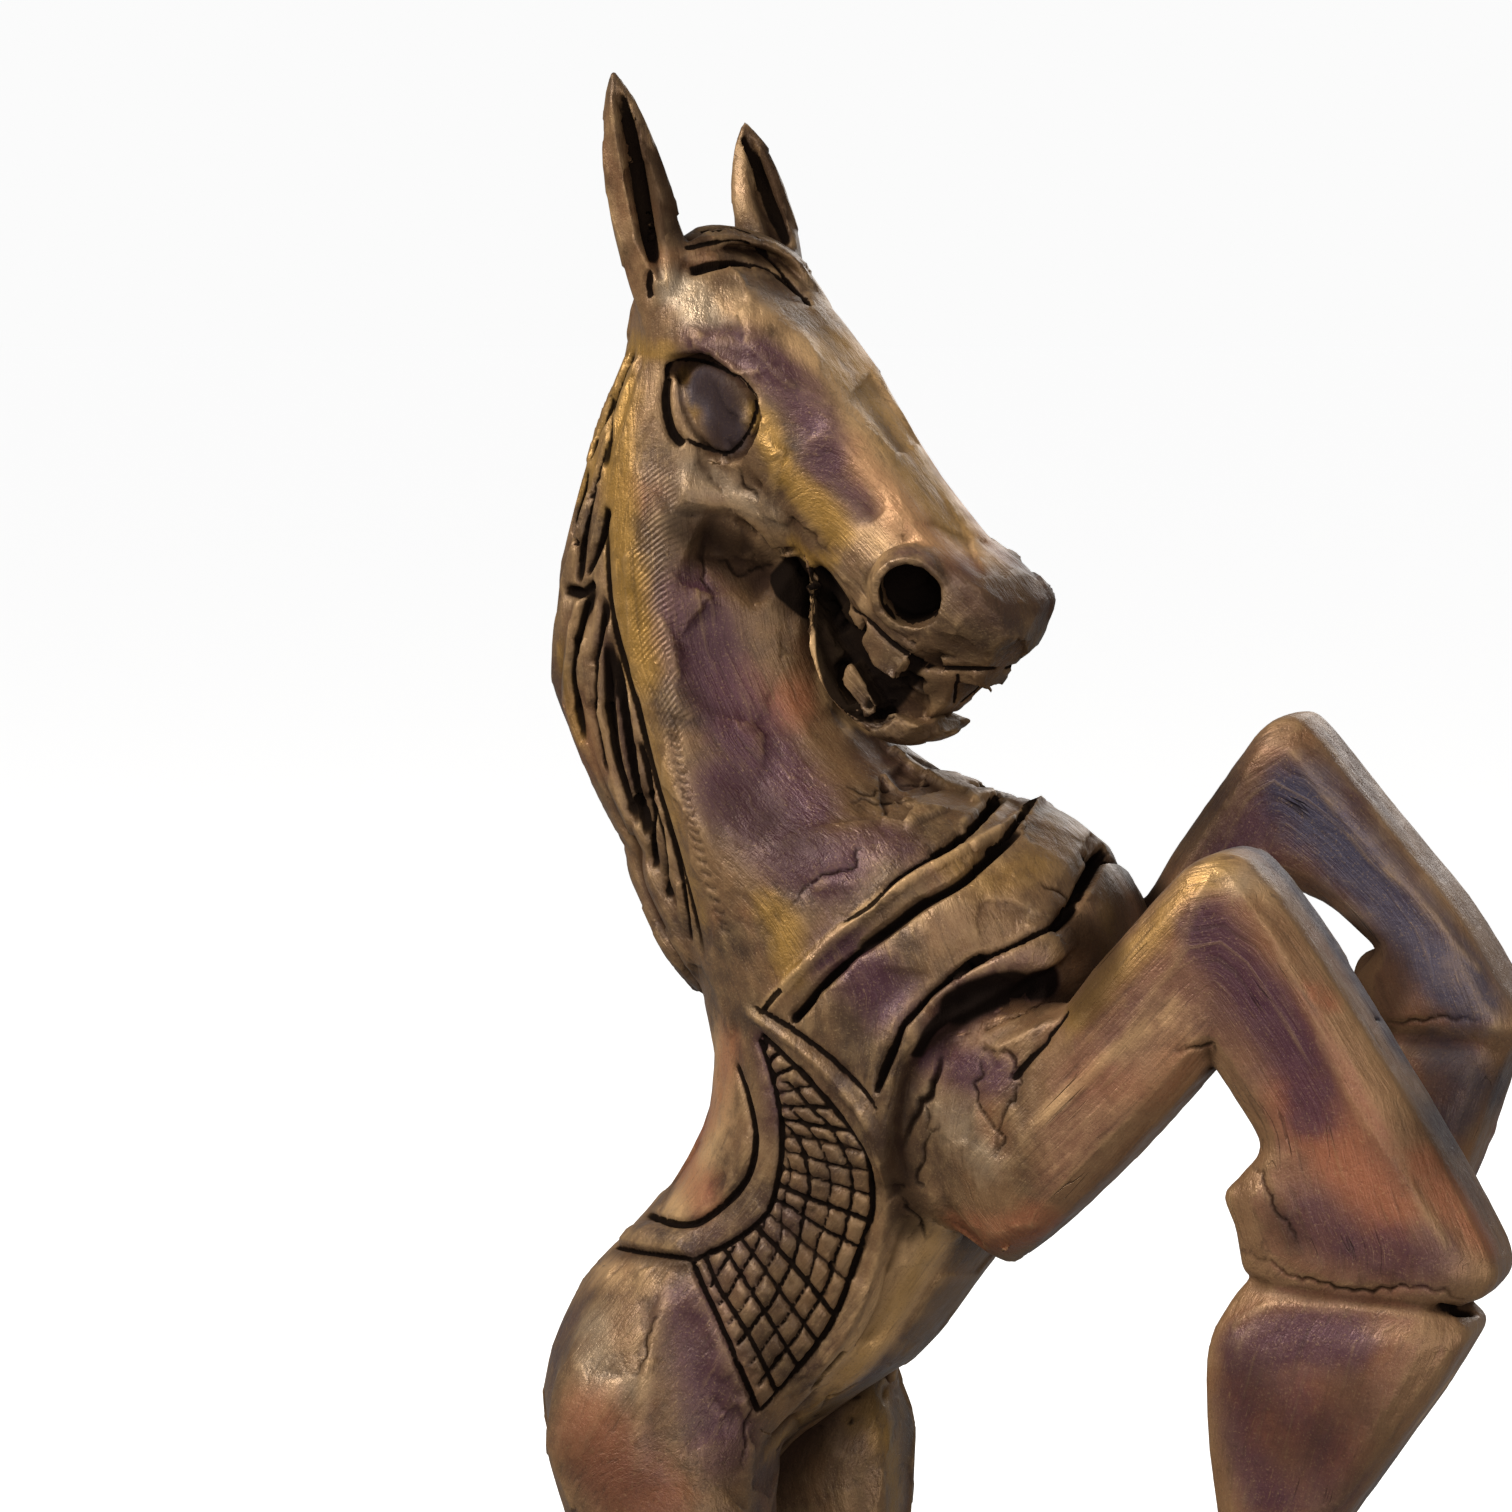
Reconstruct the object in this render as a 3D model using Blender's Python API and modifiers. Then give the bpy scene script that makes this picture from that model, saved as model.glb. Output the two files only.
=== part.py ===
"""A rearing horse carved in wood, standing on a low base.

Metres, +Z up. The horse faces +X and its left side is +Y. The origin is the centre of the base's underside.
The carving keeps its proportions as hundredths of the horse's own height.
"""

import math

import bmesh
import bpy
from mathutils import Matrix, Vector
from mathutils.bvhtree import BVHTree

# Driving sizes, in metres
HORSE_HEIGHT = 0.560
BASE_HEIGHT = 0.036
BASE_MARGIN = 0.030
BASE_CHAMFER = 0.004
SEAT_GAP = 0.0003

# Depth and half width of the gouge marks, in hundredths of the horse's height
STRAP_CUT = (0.75, 0.42)
BORDER_CUT = (0.45, 0.3)
HATCH_CUT = (0.34, 0.24)
EAR_CUT = (0.95, 0.5)
# Share of a gouge's half width left at its two ends, and how far its cutter stands out of the wood
CUT_END = 0.25
CUT_LIFT = 0.6
# Share of a limb's half width and half depth that is planed off its four long edges
EDGE_CHAMFER = 0.34

UNIT = HORSE_HEIGHT / 100
RIGHT, LEFT = -1, 1
SPINE_SIDES = 22
NOSTRIL_SIDES = 12
MANE_LOCKS = 7
TAIL_LOCKS = 7
# Depth of the valleys between locks, as a share of a lock's reach
MANE_VALLEY, TAIL_VALLEY, FORELOCK_VALLEY = 0.2, 0.24, 0.5
# A lock's rounded back runs between these two shares of its width
LOCK_BACK = (0.28, 0.72)


def place(x, y, z):
    """A point given in hundredths of the horse's height, measured from the base's top."""
    return Vector((x * UNIT, y * UNIT, BASE_HEIGHT + SEAT_GAP + z * UNIT))


def material(name, colour, roughness):
    made = bpy.data.materials.new(name)
    made.use_nodes = True
    shader = made.node_tree.nodes["Principled BSDF"]
    shader.inputs["Base Color"].default_value = (*colour, 1.0)
    shader.inputs["Roughness"].default_value = roughness
    shader.inputs["Metallic"].default_value = 0.0
    return made


def mesh_object(name, points, faces, home):
    mesh = bpy.data.meshes.new(name)
    mesh.from_pydata([tuple(p) for p in points], [], faces)
    mesh.update()
    made = bpy.data.objects.new(name, mesh)
    home.objects.link(made)
    return made


def loft(name, rings, home):
    """A closed skin through rings of equal point counts, capped by a fan at each end."""
    count = len(rings[0])
    points = [p for ring in rings for p in ring]
    faces = []
    for r in range(len(rings) - 1):
        for i in range(count):
            j = (i + 1) % count
            faces.append((r * count + i, r * count + j, (r + 1) * count + j, (r + 1) * count + i))
    for r, flip in ((0, True), (len(rings) - 1, False)):
        centre = len(points)
        points.append(sum(rings[r], Vector()) / count)
        for i in range(count):
            a, b = r * count + i, r * count + (i + 1) % count
            faces.append((b, a, centre) if flip else (a, b, centre))
    made = mesh_object(name, points, faces, home)
    shape = bmesh.new()
    shape.from_mesh(made.data)
    bmesh.ops.recalc_face_normals(shape, faces=shape.faces)
    shape.to_mesh(made.data)
    shape.free()
    return made


def between(rows, t):
    """The row at parameter t on a smooth curve through rows of numbers (Catmull-Rom)."""
    last = len(rows) - 1
    i = min(int(t), last - 1)
    f = t - i
    before, a, b, after = (rows[max(0, min(last, k))] for k in (i - 1, i, i + 1, i + 2))
    return [
        0.5 * (2 * q + (r - p) * f + (2 * p - 5 * q + 4 * r - s) * f * f + (3 * q - p - 3 * r + s) * f**3)
        for p, q, r, s in zip(before, a, b, after)
    ]


def along(rows, share):
    """The row at a share, from 0 to 1, of the way along the list."""
    return between(rows, share * (len(rows) - 1))


def oval_ring(back, front, half_width, squareness, lean):
    """A ring across the body; lean moves the widest place towards the back."""
    centre, arm = (back + front) / 2, (front - back) / 2
    ring = []
    for k in range(SPINE_SIDES):
        angle = 2 * math.pi * k / SPINE_SIDES
        c, s = math.cos(angle), math.sin(angle)
        reach = (abs(c) ** squareness + abs(s) ** squareness) ** (-1 / squareness)
        c, s = c * reach, s * reach
        ring.append(centre + arm * (c - lean * s * s) + Vector((0, half_width * s, 0)))
    return ring


def chamfered_ring(outer, inner, half_width):
    """Eight corners: a rectangle from outer to inner, with its four edges planed off."""
    centre, arm = (outer + inner) / 2, (outer - inner) / 2
    cut = 1 - EDGE_CHAMFER
    ring = []
    for end, across in ((1, 1), (1, -1), (-1, -1), (-1, 1)):
        flat = centre + arm * end + Vector((0, half_width * across * cut, 0))
        side = centre + arm * end * cut + Vector((0, half_width * across, 0))
        ring.extend((side, flat) if end * across > 0 else (flat, side))
    return ring


def lock_ring(centre, out, across, sweep, locks, valley):
    """A ring of rounded locks of hair, swept sweep radians about the centre, with valleys between them."""
    shares = []
    for k in range(locks):
        shares.extend(((k, 1 - valley), (k + LOCK_BACK[0], 1.0), (k + LOCK_BACK[1], 1.0)))
    if sweep < 2 * math.pi:
        shares.append((locks, 1 - valley))
    ring = []
    for share, reach in shares:
        angle = sweep * (share / locks - 0.5)
        ring.append(centre + out * (math.cos(angle) * reach) + across * (math.sin(angle) * reach))
    return ring


# Trunk and neck: back x, z and front x, z in the median plane, half width, squareness, lean
SPINE = (
    (-6.6, 88.6, -2.0, 84.6, 3.6, 2.0, 0.0),
    (-8.4, 84.3, 0.3, 81.3, 4.3, 1.9, 0.15),
    (-9.2, 80.2, 1.7, 77.3, 4.8, 1.8, 0.25),
    (-9.0, 75.8, 2.6, 73.3, 5.1, 1.8, 0.3),
    (-7.9, 71.3, 5.0, 70.3, 5.6, 1.9, 0.3),
    (-6.6, 67.2, 8.0, 68.8, 6.4, 2.0, 0.25),
    (-5.2, 63.7, 11.9, 67.8, 7.2, 2.2, 0.15),
    (-3.9, 60.6, 14.4, 65.8, 7.8, 2.4, 0.05),
    (-3.1, 57.9, 16.0, 62.7, 8.1, 2.5, 0.0),
    (-3.2, 55.2, 15.4, 57.9, 8.0, 2.4, 0.0),
    (-3.9, 52.8, 13.1, 53.3, 7.6, 2.3, 0.0),
    (-5.8, 50.0, 10.2, 49.1, 7.4, 2.3, 0.0),
    (-8.9, 46.8, 7.9, 45.9, 7.8, 2.4, 0.0),
    (-10.6, 43.4, 5.8, 43.2, 8.2, 2.4, 0.0),
    (-11.2, 40.0, 2.7, 41.0, 7.6, 2.3, 0.0),
    (-10.3, 37.0, -0.4, 38.6, 6.2, 2.1, 0.0),
    (-8.2, 34.6, -2.2, 36.0, 3.6, 2.0, 0.0),
)


def trunk(home):
    rings = []
    for bx, bz, fx, fz, half, squareness, lean in SPINE:
        rings.append(oval_ring(place(bx, 0, bz), place(fx, 0, fz), half * UNIT, squareness, lean))
    return loft("trunk", rings, home)


# Limbs: outer x, z and inner x, z of each cut, the middle's distance from the median plane, half width
RIGHT_FORELEG = (
    (3.6, 57.2, 5.8, 52.4, 3.4, 2.2),
    (8.2, 58.6, 8.8, 51.0, 5.0, 2.9),
    (11.6, 59.0, 11.4, 49.0, 5.9, 3.1),
    (14.6, 60.0, 13.0, 49.4, 6.4, 3.1),
    (16.6, 62.3, 16.7, 52.8, 6.6, 3.0),
    (19.7, 65.8, 20.4, 56.9, 6.7, 2.9),
    (20.9, 66.8, 21.4, 58.1, 6.7, 2.8),
    (22.3, 67.1, 21.5, 58.1, 6.7, 2.7),
    (23.6, 66.3, 21.6, 58.1, 6.7, 2.7),
    (26.2, 62.9, 22.6, 56.7, 6.7, 2.7),
    (29.0, 58.6, 23.6, 54.9, 6.7, 2.7),
    (30.9, 55.6, 22.8, 53.6, 6.7, 2.8),
    (32.6, 52.7, 22.1, 52.7, 6.7, 3.0),
    (33.7, 50.4, 22.6, 51.3, 6.7, 3.0),
    (33.3, 49.2, 22.9, 49.7, 6.7, 2.8),
    (32.0, 48.5, 23.2, 49.3, 6.7, 2.5),
    (32.6, 47.7, 22.3, 48.1, 6.7, 2.9),
    (32.3, 46.8, 21.5, 46.3, 6.7, 3.2),
    (30.6, 44.0, 21.5, 42.9, 6.7, 3.3),
    (27.5, 39.4, 22.0, 38.9, 6.7, 3.0),
    (25.1, 35.8, 22.5, 35.6, 6.7, 2.4),
)
LEFT_FORELEG = (
    (4.2, 58.0, 6.2, 53.0, 3.4, 2.2),
    (8.8, 60.4, 9.6, 52.4, 5.0, 2.9),
    (11.8, 61.8, 12.2, 52.4, 5.8, 3.0),
    (14.6, 63.2, 15.3, 54.3, 6.4, 3.1),
    (16.4, 66.0, 18.5, 58.5, 6.6, 3.0),
    (19.1, 69.9, 20.0, 62.5, 6.7, 2.9),
    (20.3, 71.4, 20.4, 64.0, 6.7, 2.8),
    (21.3, 71.8, 20.6, 64.3, 6.7, 2.7),
    (22.3, 71.4, 20.9, 64.3, 6.7, 2.7),
    (24.4, 68.9, 23.0, 63.6, 6.7, 2.7),
    (26.9, 66.0, 24.8, 62.2, 6.7, 2.7),
    (29.1, 63.4, 25.3, 61.5, 6.7, 2.8),
    (31.0, 60.4, 24.4, 60.3, 6.7, 3.0),
    (32.1, 58.7, 24.6, 58.9, 6.7, 3.0),
    (31.9, 57.9, 25.1, 58.2, 6.7, 2.6),
    (31.4, 57.4, 24.9, 57.7, 6.7, 2.6),
    (31.0, 56.4, 24.0, 56.4, 6.7, 3.0),
    (29.2, 51.2, 23.4, 52.2, 6.7, 3.2),
    (26.6, 46.8, 23.2, 48.2, 6.7, 2.8),
    (24.8, 44.2, 23.2, 45.2, 6.7, 2.3),
)
RIGHT_HIND_LEG = (
    (-7.4, 46.6, -3.6, 47.8, 4.0, 2.0),
    (-8.6, 43.4, -1.3, 45.0, 4.9, 3.2),
    (-9.1, 40.2, 0.1, 41.0, 5.3, 3.8),
    (-8.1, 36.6, 0.5, 36.4, 5.4, 3.6),
    (-6.9, 32.0, 0.3, 30.9, 5.4, 3.2),
    (-7.4, 28.0, -1.2, 26.6, 5.4, 2.9),
    (-9.6, 24.4, -3.2, 22.8, 5.4, 2.7),
    (-11.6, 21.6, -4.6, 19.6, 5.4, 2.7),
    (-11.4, 19.6, -4.8, 17.6, 5.4, 2.7),
    (-9.6, 15.4, -4.1, 14.4, 5.5, 2.4),
    (-8.0, 11.0, -3.1, 11.0, 5.6, 2.4),
    (-8.1, 8.6, -1.9, 8.9, 5.7, 2.8),
    (-7.0, 6.9, -1.4, 7.4, 5.7, 2.4),
    (-7.6, 5.8, -0.2, 6.6, 5.7, 3.0),
    (-8.2, 0.0, 3.0, 0.0, 5.8, 3.4),
)
LEFT_HIND_LEG = (
    (-6.4, 45.6, 0.0, 46.6, 4.2, 2.4),
    (-7.6, 42.6, 1.9, 43.4, 5.0, 3.3),
    (-7.6, 39.4, 3.2, 39.8, 5.4, 3.7),
    (-6.2, 35.8, 3.3, 35.2, 5.4, 3.4),
    (-4.2, 31.4, 2.6, 30.2, 5.4, 3.1),
    (-4.2, 27.6, 1.9, 26.2, 5.4, 2.8),
    (-6.2, 24.0, 0.2, 22.6, 5.4, 2.7),
    (-8.0, 21.4, -1.0, 19.4, 5.4, 2.7),
    (-7.8, 19.2, -1.1, 17.4, 5.4, 2.7),
    (-6.0, 15.2, -0.5, 14.2, 5.5, 2.4),
    (-4.4, 11.0, 0.5, 11.0, 5.6, 2.4),
    (-4.5, 8.6, 1.7, 8.9, 5.7, 2.8),
    (-3.4, 6.9, 2.2, 7.4, 5.7, 2.4),
    (-4.0, 5.8, 3.4, 6.6, 5.7, 3.0),
    (-4.6, 0.0, 6.6, 0.0, 5.8, 3.4),
)
# Knob behind the left foreleg's lower joint: centre x, z and radius
ERGOT = (25.3, 60.2, 1.35)


def limb(name, rows, side, home):
    """A limb whose cuts run from its outer or back edge to its inner or front edge."""
    rings = []
    for ox, oz, ix, iz, middle, half in rows:
        aside = Vector((0, side * middle * UNIT, 0))
        rings.append(chamfered_ring(place(ox, 0, oz) + aside, place(ix, 0, iz) + aside, half * UNIT))
    return loft(name, rings, home)


# Tail: back x, z and front x, z of each cut, half width
TAIL = (
    (-8.6, 41.0, -4.6, 42.0, 1.6),
    (-9.8, 37.0, -5.6, 37.5, 1.9),
    (-10.3, 33.0, -6.0, 33.6, 2.1),
    (-12.0, 28.4, -7.4, 29.4, 2.4),
    (-14.6, 23.0, -9.6, 24.2, 2.7),
    (-16.4, 16.8, -10.9, 17.4, 2.8),
    (-16.8, 10.0, -11.2, 10.0, 2.6),
    (-16.2, 4.0, -11.3, 4.0, 2.3),
    (-15.8, 0.0, -11.4, 0.0, 2.1),
)


def tail(home):
    rings = []
    for bx, bz, fx, fz, half in TAIL:
        back, front = place(bx, 0, bz), place(fx, 0, fz)
        across = Vector((0, half * UNIT, 0))
        rings.append(lock_ring((back + front) / 2, (back - front) / 2, across, 2 * math.pi, TAIL_LOCKS, TAIL_VALLEY))
    return loft("tail", rings, home)


# Mane, in three falls of locks: crest x, z and root x, z of each cut, half width
MANE = (
    (
        (-6.8, 89.8, -4.6, 89.2, 2.4),
        (-8.3, 86.6, -5.7, 85.9, 3.4),
        (-9.7, 82.8, -6.7, 82.0, 3.8),
        (-10.7, 79.3, -7.2, 78.6, 3.9),
        (-11.1, 76.8, -7.4, 75.9, 3.8),
        (-10.6, 74.6, -7.8, 74.0, 3.0),
    ),
    (
        (-9.4, 80.2, -7.2, 79.4, 2.8),
        (-10.8, 77.2, -6.9, 76.2, 4.3),
        (-11.4, 74.0, -6.3, 73.3, 4.7),
        (-10.9, 71.6, -5.7, 71.2, 4.8),
        (-9.7, 69.0, -5.1, 68.7, 4.8),
        (-8.3, 66.6, -4.5, 66.1, 4.6),
        (-7.1, 64.6, -4.8, 64.2, 3.2),
    ),
    (
        (-7.4, 68.4, -5.2, 68.0, 2.8),
        (-7.8, 65.4, -4.1, 64.9, 4.5),
        (-6.9, 63.0, -3.4, 62.7, 4.7),
        (-5.8, 61.0, -2.7, 60.8, 4.6),
        (-4.4, 59.4, -2.4, 59.3, 3.2),
    ),
)


def mane(home):
    for tier, rows in enumerate(MANE):
        rings = []
        for cx, cz, rx, rz, half in rows:
            root = place(rx, 0, rz)
            across = Vector((0, half * UNIT, 0))
            rings.append(lock_ring(root, place(cx, 0, cz) - root, across, math.pi, MANE_LOCKS, MANE_VALLEY))
        loft(f"mane_{tier + 1}", rings, home)


# Head: a frame of its own, along the face, across it towards the brow, and to the head's right
HEAD_POLL = (-3.4, 0.6, 91.6)
HEAD_PITCH = math.radians(48)
HEAD_TURN = math.radians(-18)


def head_axes():
    turn = Matrix.Rotation(HEAD_TURN, 4, "Z")
    face = turn @ Vector((math.cos(HEAD_PITCH), 0, -math.sin(HEAD_PITCH)))
    brow = turn @ Vector((math.sin(HEAD_PITCH), 0, math.cos(HEAD_PITCH)))
    right = turn @ Vector((0, -1, 0))
    return face, brow, right


def on_head(u, v, w):
    """A point in the head's frame, in hundredths of the horse's height."""
    face, brow, right = head_axes()
    return place(*HEAD_POLL) + (face * u + brow * v + right * w) * UNIT


# Skull: u, top v, bottom v, half width of the face's flat, greatest half width, its v, half width below
SKULL = (
    (-1.8, -0.2, -3.4, 1.7, 2.6, -1.8, 1.8),
    (0.2, 1.0, -5.2, 2.1, 3.9, -1.9, 2.6),
    (2.5, 1.5, -7.2, 2.4, 4.4, -1.9, 3.0),
    (5.0, 1.9, -8.3, 2.4, 4.6, -1.7, 3.1),
    (7.6, 2.0, -8.3, 2.3, 4.5, -1.8, 3.0),
    (9.6, 1.9, -5.8, 2.2, 4.1, -1.8, 2.8),
    (12.4, 1.8, -4.5, 2.1, 3.4, -1.4, 2.6),
    (15.2, 1.7, -3.5, 2.1, 3.0, -1.1, 2.6),
    (17.6, 1.8, -3.4, 2.1, 3.1, -0.8, 2.7),
    (19.3, 2.2, -3.1, 2.3, 3.2, -0.4, 2.5),
    (20.7, 2.6, -2.1, 2.3, 3.0, 0.2, 2.2),
    (21.9, 2.3, -0.9, 1.9, 2.5, 0.7, 1.7),
    (22.8, 1.5, 0.2, 1.2, 1.6, 0.9, 1.1),
)


def skull(home):
    rings = []
    for u, top, bottom, flat, widest, level, below in SKULL:
        half = [
            (0, top),
            (flat, top - 0.08),
            ((flat + 2 * widest) / 3, (top + level) / 2),
            (widest, level),
            ((widest + below) / 2 + 0.1, (level + bottom) / 2),
            (below, bottom + 0.3),
            (0, bottom),
        ]
        outline = half + [(-w, v) for w, v in reversed(half[1:-1])]
        rings.append([on_head(u, v, w) for w, v in outline])
    return loft("skull", rings, home)


# Rim of the lower jaw, and the dark core of the mouth inside it: top u, v and bottom u, v of each cut, half width
JAW = (
    (12.4, -2.8, 12.2, -4.5, 2.7),
    (14.6, -3.9, 13.8, -4.6, 2.9),
    (16.4, -5.4, 15.7, -5.9, 2.95),
    (18.7, -6.3, 18.4, -7.1, 2.9),
    (20.6, -6.1, 20.8, -7.0, 2.5),
    (22.0, -5.2, 22.7, -5.8, 1.9),
    (22.6, -4.1, 23.5, -4.1, 1.1),
)
MOUTH_CORE = (
    (12.0, -2.5, 12.4, -4.1, 1.9),
    (15.0, -2.6, 14.8, -4.4, 1.9),
    (17.2, -2.4, 16.8, -5.8, 1.8),
    (19.4, -2.2, 18.9, -6.6, 1.7),
    (21.0, -1.5, 20.9, -6.4, 1.5),
    (22.6, -0.4, 22.2, -5.2, 1.1),
)
# Teeth: outline in u and v, then the nearer and farther half width of each pair
SIDE_TEETH = (
    (((18.2, -2.8), (20.6, -2.5), (21.2, -4.1)), 1.4, 2.5),
    (((18.4, -5.2), (18.7, -6.0), (20.6, -6.2), (20.9, -5.5)), 1.4, 2.4),
    (((21.2, -5.9), (22.4, -5.3), (22.3, -4.8), (21.3, -5.1)), 0.3, 1.7),
)
# Upper front teeth: u, v, half width where they leave the lip, then at their tips
FRONT_TEETH = (
    ((20.0, -1.8, 2.0), (22.6, 0.2, 1.2)),
    ((20.8, -3.2, 1.8), (23.3, -1.4, 1.0)),
)


def head_bar(name, rows, home):
    """A bar under the skull through cuts of eight corners, wider at the top than below."""
    rings = []
    for tu, tv, bu, bv, half in rows:
        outline = [(0.0, 0.86), (0.4, 1.0), (0.85, 0.75), (1.0, 0.4)]
        ring = [(tu + (bu - tu) * s, tv + (bv - tv) * s, half * w) for s, w in outline]
        rings.append([on_head(*p) for p in ring] + [on_head(u, v, -w) for u, v, w in reversed(ring)])
    return loft(name, rings, home)


def teeth(home):
    for number, (outline, near, far) in enumerate(SIDE_TEETH):
        for side in (RIGHT, LEFT):
            rings = [[on_head(u, v, side * w) for u, v in outline] for w in (near, far)]
            loft(f"tooth_{number + 1}_{side}", rings, home)
    rings = []
    for (bu, bv, bw), (fu, fv, fw) in FRONT_TEETH:
        rings.append([on_head(bu, bv, bw), on_head(fu, fv, fw), on_head(fu, fv, -fw), on_head(bu, bv, -bw)])
    loft("front_teeth", rings, home)


# Eye: outline of its hollow in u and v, floor and top w; the ball's centre and radii
EYE_HOLLOW = ((3.1, -2.6), (4.4, -0.9), (8.0, -0.5), (8.9, -2.8), (6.6, -4.6), (4.3, -4.4))
EYE_HOLLOW_FLOOR, EYE_HOLLOW_TOP = 3.2, 7.0
EYE_BALL = (6.3, -2.4, 3.0)
EYE_RADII = (2.15, 1.7, 1.75)
# Nostril: centre, way out, radii of rim and hole, rise of the rim and depth of the hole
NOSTRIL = (18.8, -0.15, 3.0)
NOSTRIL_OUT = (0.5, 0.1, 0.86)
NOSTRIL_RIM, NOSTRIL_HOLE = 1.85, 1.35
NOSTRIL_RISE, NOSTRIL_DEPTH = 0.35, 1.7


def eye_hollows(home):
    for side in (RIGHT, LEFT):
        rings = [[on_head(u, v, -side * w) for u, v in EYE_HOLLOW] for w in (EYE_HOLLOW_FLOOR, EYE_HOLLOW_TOP)]
        loft(f"eye_hollow_{side}", rings, home)


def ball(name, centre, axes, home):
    """A rounded solid about a centre, with its three half axes given as vectors."""
    shape = bmesh.new()
    bmesh.ops.create_uvsphere(shape, u_segments=10, v_segments=6, radius=1)
    for vert in shape.verts:
        x, y, z = vert.co
        vert.co = centre + axes[0] * x + axes[1] * y + axes[2] * z
    shape.normal_update()
    bmesh.ops.recalc_face_normals(shape, faces=shape.faces)
    mesh = bpy.data.meshes.new(name)
    shape.to_mesh(mesh)
    shape.free()
    home.objects.link(bpy.data.objects.new(name, mesh))


def eye_balls(home):
    axes = [axis * (radius * UNIT) for axis, radius in zip(head_axes(), EYE_RADII)]
    u, v, w = EYE_BALL
    for side in (RIGHT, LEFT):
        ball(f"eye_{side}", on_head(u, v, -side * w), axes, home)


def ergot(home):
    x, z, radius = ERGOT
    centre = place(x, LEFT * LEFT_FORELEG[-1][4], z)
    ball("ergot", centre, [Vector(axis) * (radius * UNIT) for axis in ((1, 0, 0), (0, 0, 1), (0, 1, 0))], home)


def nostrils(name, radius, low, high, home):
    """A pair of round plugs on the nostrils' axes, from low to high along each."""
    face, brow, right = head_axes()
    for side in (RIGHT, LEFT):
        u, v, w = NOSTRIL
        a, b, c = NOSTRIL_OUT
        centre = on_head(u, v, -side * w)
        out = (face * a + brow * b + right * (-side * c)).normalized()
        flat = out.cross(brow).normalized()
        tall = flat.cross(out)
        rings = []
        for reach, share in ((low, 1.12), (high, 1.0)):
            middle = centre + out * (reach * UNIT)
            rings.append([
                middle + (flat * math.cos(angle) + tall * math.sin(angle)) * (radius * share * UNIT)
                for angle in (2 * math.pi * k / NOSTRIL_SIDES for k in range(NOSTRIL_SIDES))
            ])
        loft(f"{name}_{side}", rings, home)


# Forelock, two bands of hair over the head: u, v, w and half width along the face
FORELOCK = (
    (-0.5, -0.6, 2.7, 0.9),
    (-0.6, 0.6, 1.6, 1.2),
    (-0.4, 1.0, 0.2, 1.3),
    (0.3, 1.3, -1.3, 1.3),
    (1.6, 1.3, -2.3, 1.1),
    (3.8, 0.9, -2.7, 0.4),
)
FORELOCK_RISE = 0.75


def forelock(home):
    rings = []
    for k, (u, v, w, half) in enumerate(FORELOCK):
        after, before = FORELOCK[min(k + 1, len(FORELOCK) - 1)], FORELOCK[max(k - 1, 0)]
        run = on_head(*after[:3]) - on_head(*before[:3])
        middle = on_head(u, v, w)
        out = middle - on_head(3.0, -3.0, 0.0)
        out = (out - run * (out.dot(run) / run.length_squared)).normalized()
        across = run.cross(out).normalized()
        rings.append(lock_ring(middle, out * (FORELOCK_RISE * UNIT), across * (half * UNIT), math.pi, 2, FORELOCK_VALLEY))
    return loft("forelock", rings, home)


# Ears: middle of the root u, v, w; the tip's offset x, y, z; the way that the hollow faces
RIGHT_EAR = ((-0.1, -1.5, 3.3), (-1.75, -1.1, 9.4), math.radians(-62))
LEFT_EAR = ((0.7, 0.1, -3.0), (-1.9, 0.9, 6.9), math.radians(-48))
# Share of the ear's length, half width, half thickness
EAR_SECTIONS = (
    (-0.18, 1.3, 1.2),
    (0.1, 1.55, 1.2),
    (0.35, 1.6, 1.05),
    (0.62, 1.35, 0.85),
    (0.85, 0.8, 0.55),
    (1.0, 0.12, 0.12),
)
EAR_CORNERS = ((-1, 0.1), (-0.35, 1), (0.35, 1), (1, 0.1), (0.75, -0.6), (0, -1), (-0.75, -0.6))
# The ear's hollow: share of the ear's length, and share of the cut's full depth and width there
EAR_HOLLOW_SECTIONS = ((0.02, 0.5), (0.2, 1.0), (0.55, 1.0), (0.8, 0.75), (0.95, 0.15))


def ear_axes(tip, facing):
    axis = Vector(tip) * UNIT
    ahead = Vector((math.cos(facing), math.sin(facing), 0))
    across = axis.cross(ahead).normalized()
    return axis, across, across.cross(axis).normalized()


def ear(name, root, tip, facing, home):
    start = on_head(*root)
    axis, across, ahead = ear_axes(tip, facing)
    rings = []
    for share, half, thick in EAR_SECTIONS:
        centre = start + axis * share
        rings.append([centre + (across * (a * half) + ahead * (b * thick)) * UNIT for a, b in EAR_CORNERS])
    return loft(name, rings, home)


def ear_hollow(name, root, tip, facing, home):
    """The long V cut down the front of an ear."""
    start = on_head(*root)
    axis, across, ahead = ear_axes(tip, facing)
    depth, half = EAR_CUT
    root_share = EAR_SECTIONS[0][0]
    rings = []
    for share, reach in EAR_HOLLOW_SECTIONS:
        thick = along(EAR_SECTIONS, (share - root_share) / (1 - root_share))[2]
        front = start + axis * share + ahead * (thick * UNIT)
        lift = ahead * (depth * CUT_LIFT * UNIT)
        arm = across * (half * reach * (1 + CUT_LIFT) * UNIT)
        rings.append([front + lift + arm, front - ahead * (depth * reach * UNIT), front + lift - arm])
    return loft(name, rings, home)


def skin_of(thing):
    return BVHTree.FromPolygons([v.co for v in thing.data.vertices], [p.vertices for p in thing.data.polygons])


def from_side(skin, x, z, side):
    """The point of the skin that is met first when looking in from one side."""
    start = place(x, 0, z) + Vector((0, side * HORSE_HEIGHT, 0))
    hit, normal, *_ = skin.ray_cast(start, Vector((0, -side, 0)))
    if hit is None:
        hit, normal, *_ = skin.find_nearest(place(x, 0, z))
    return hit, normal


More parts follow.
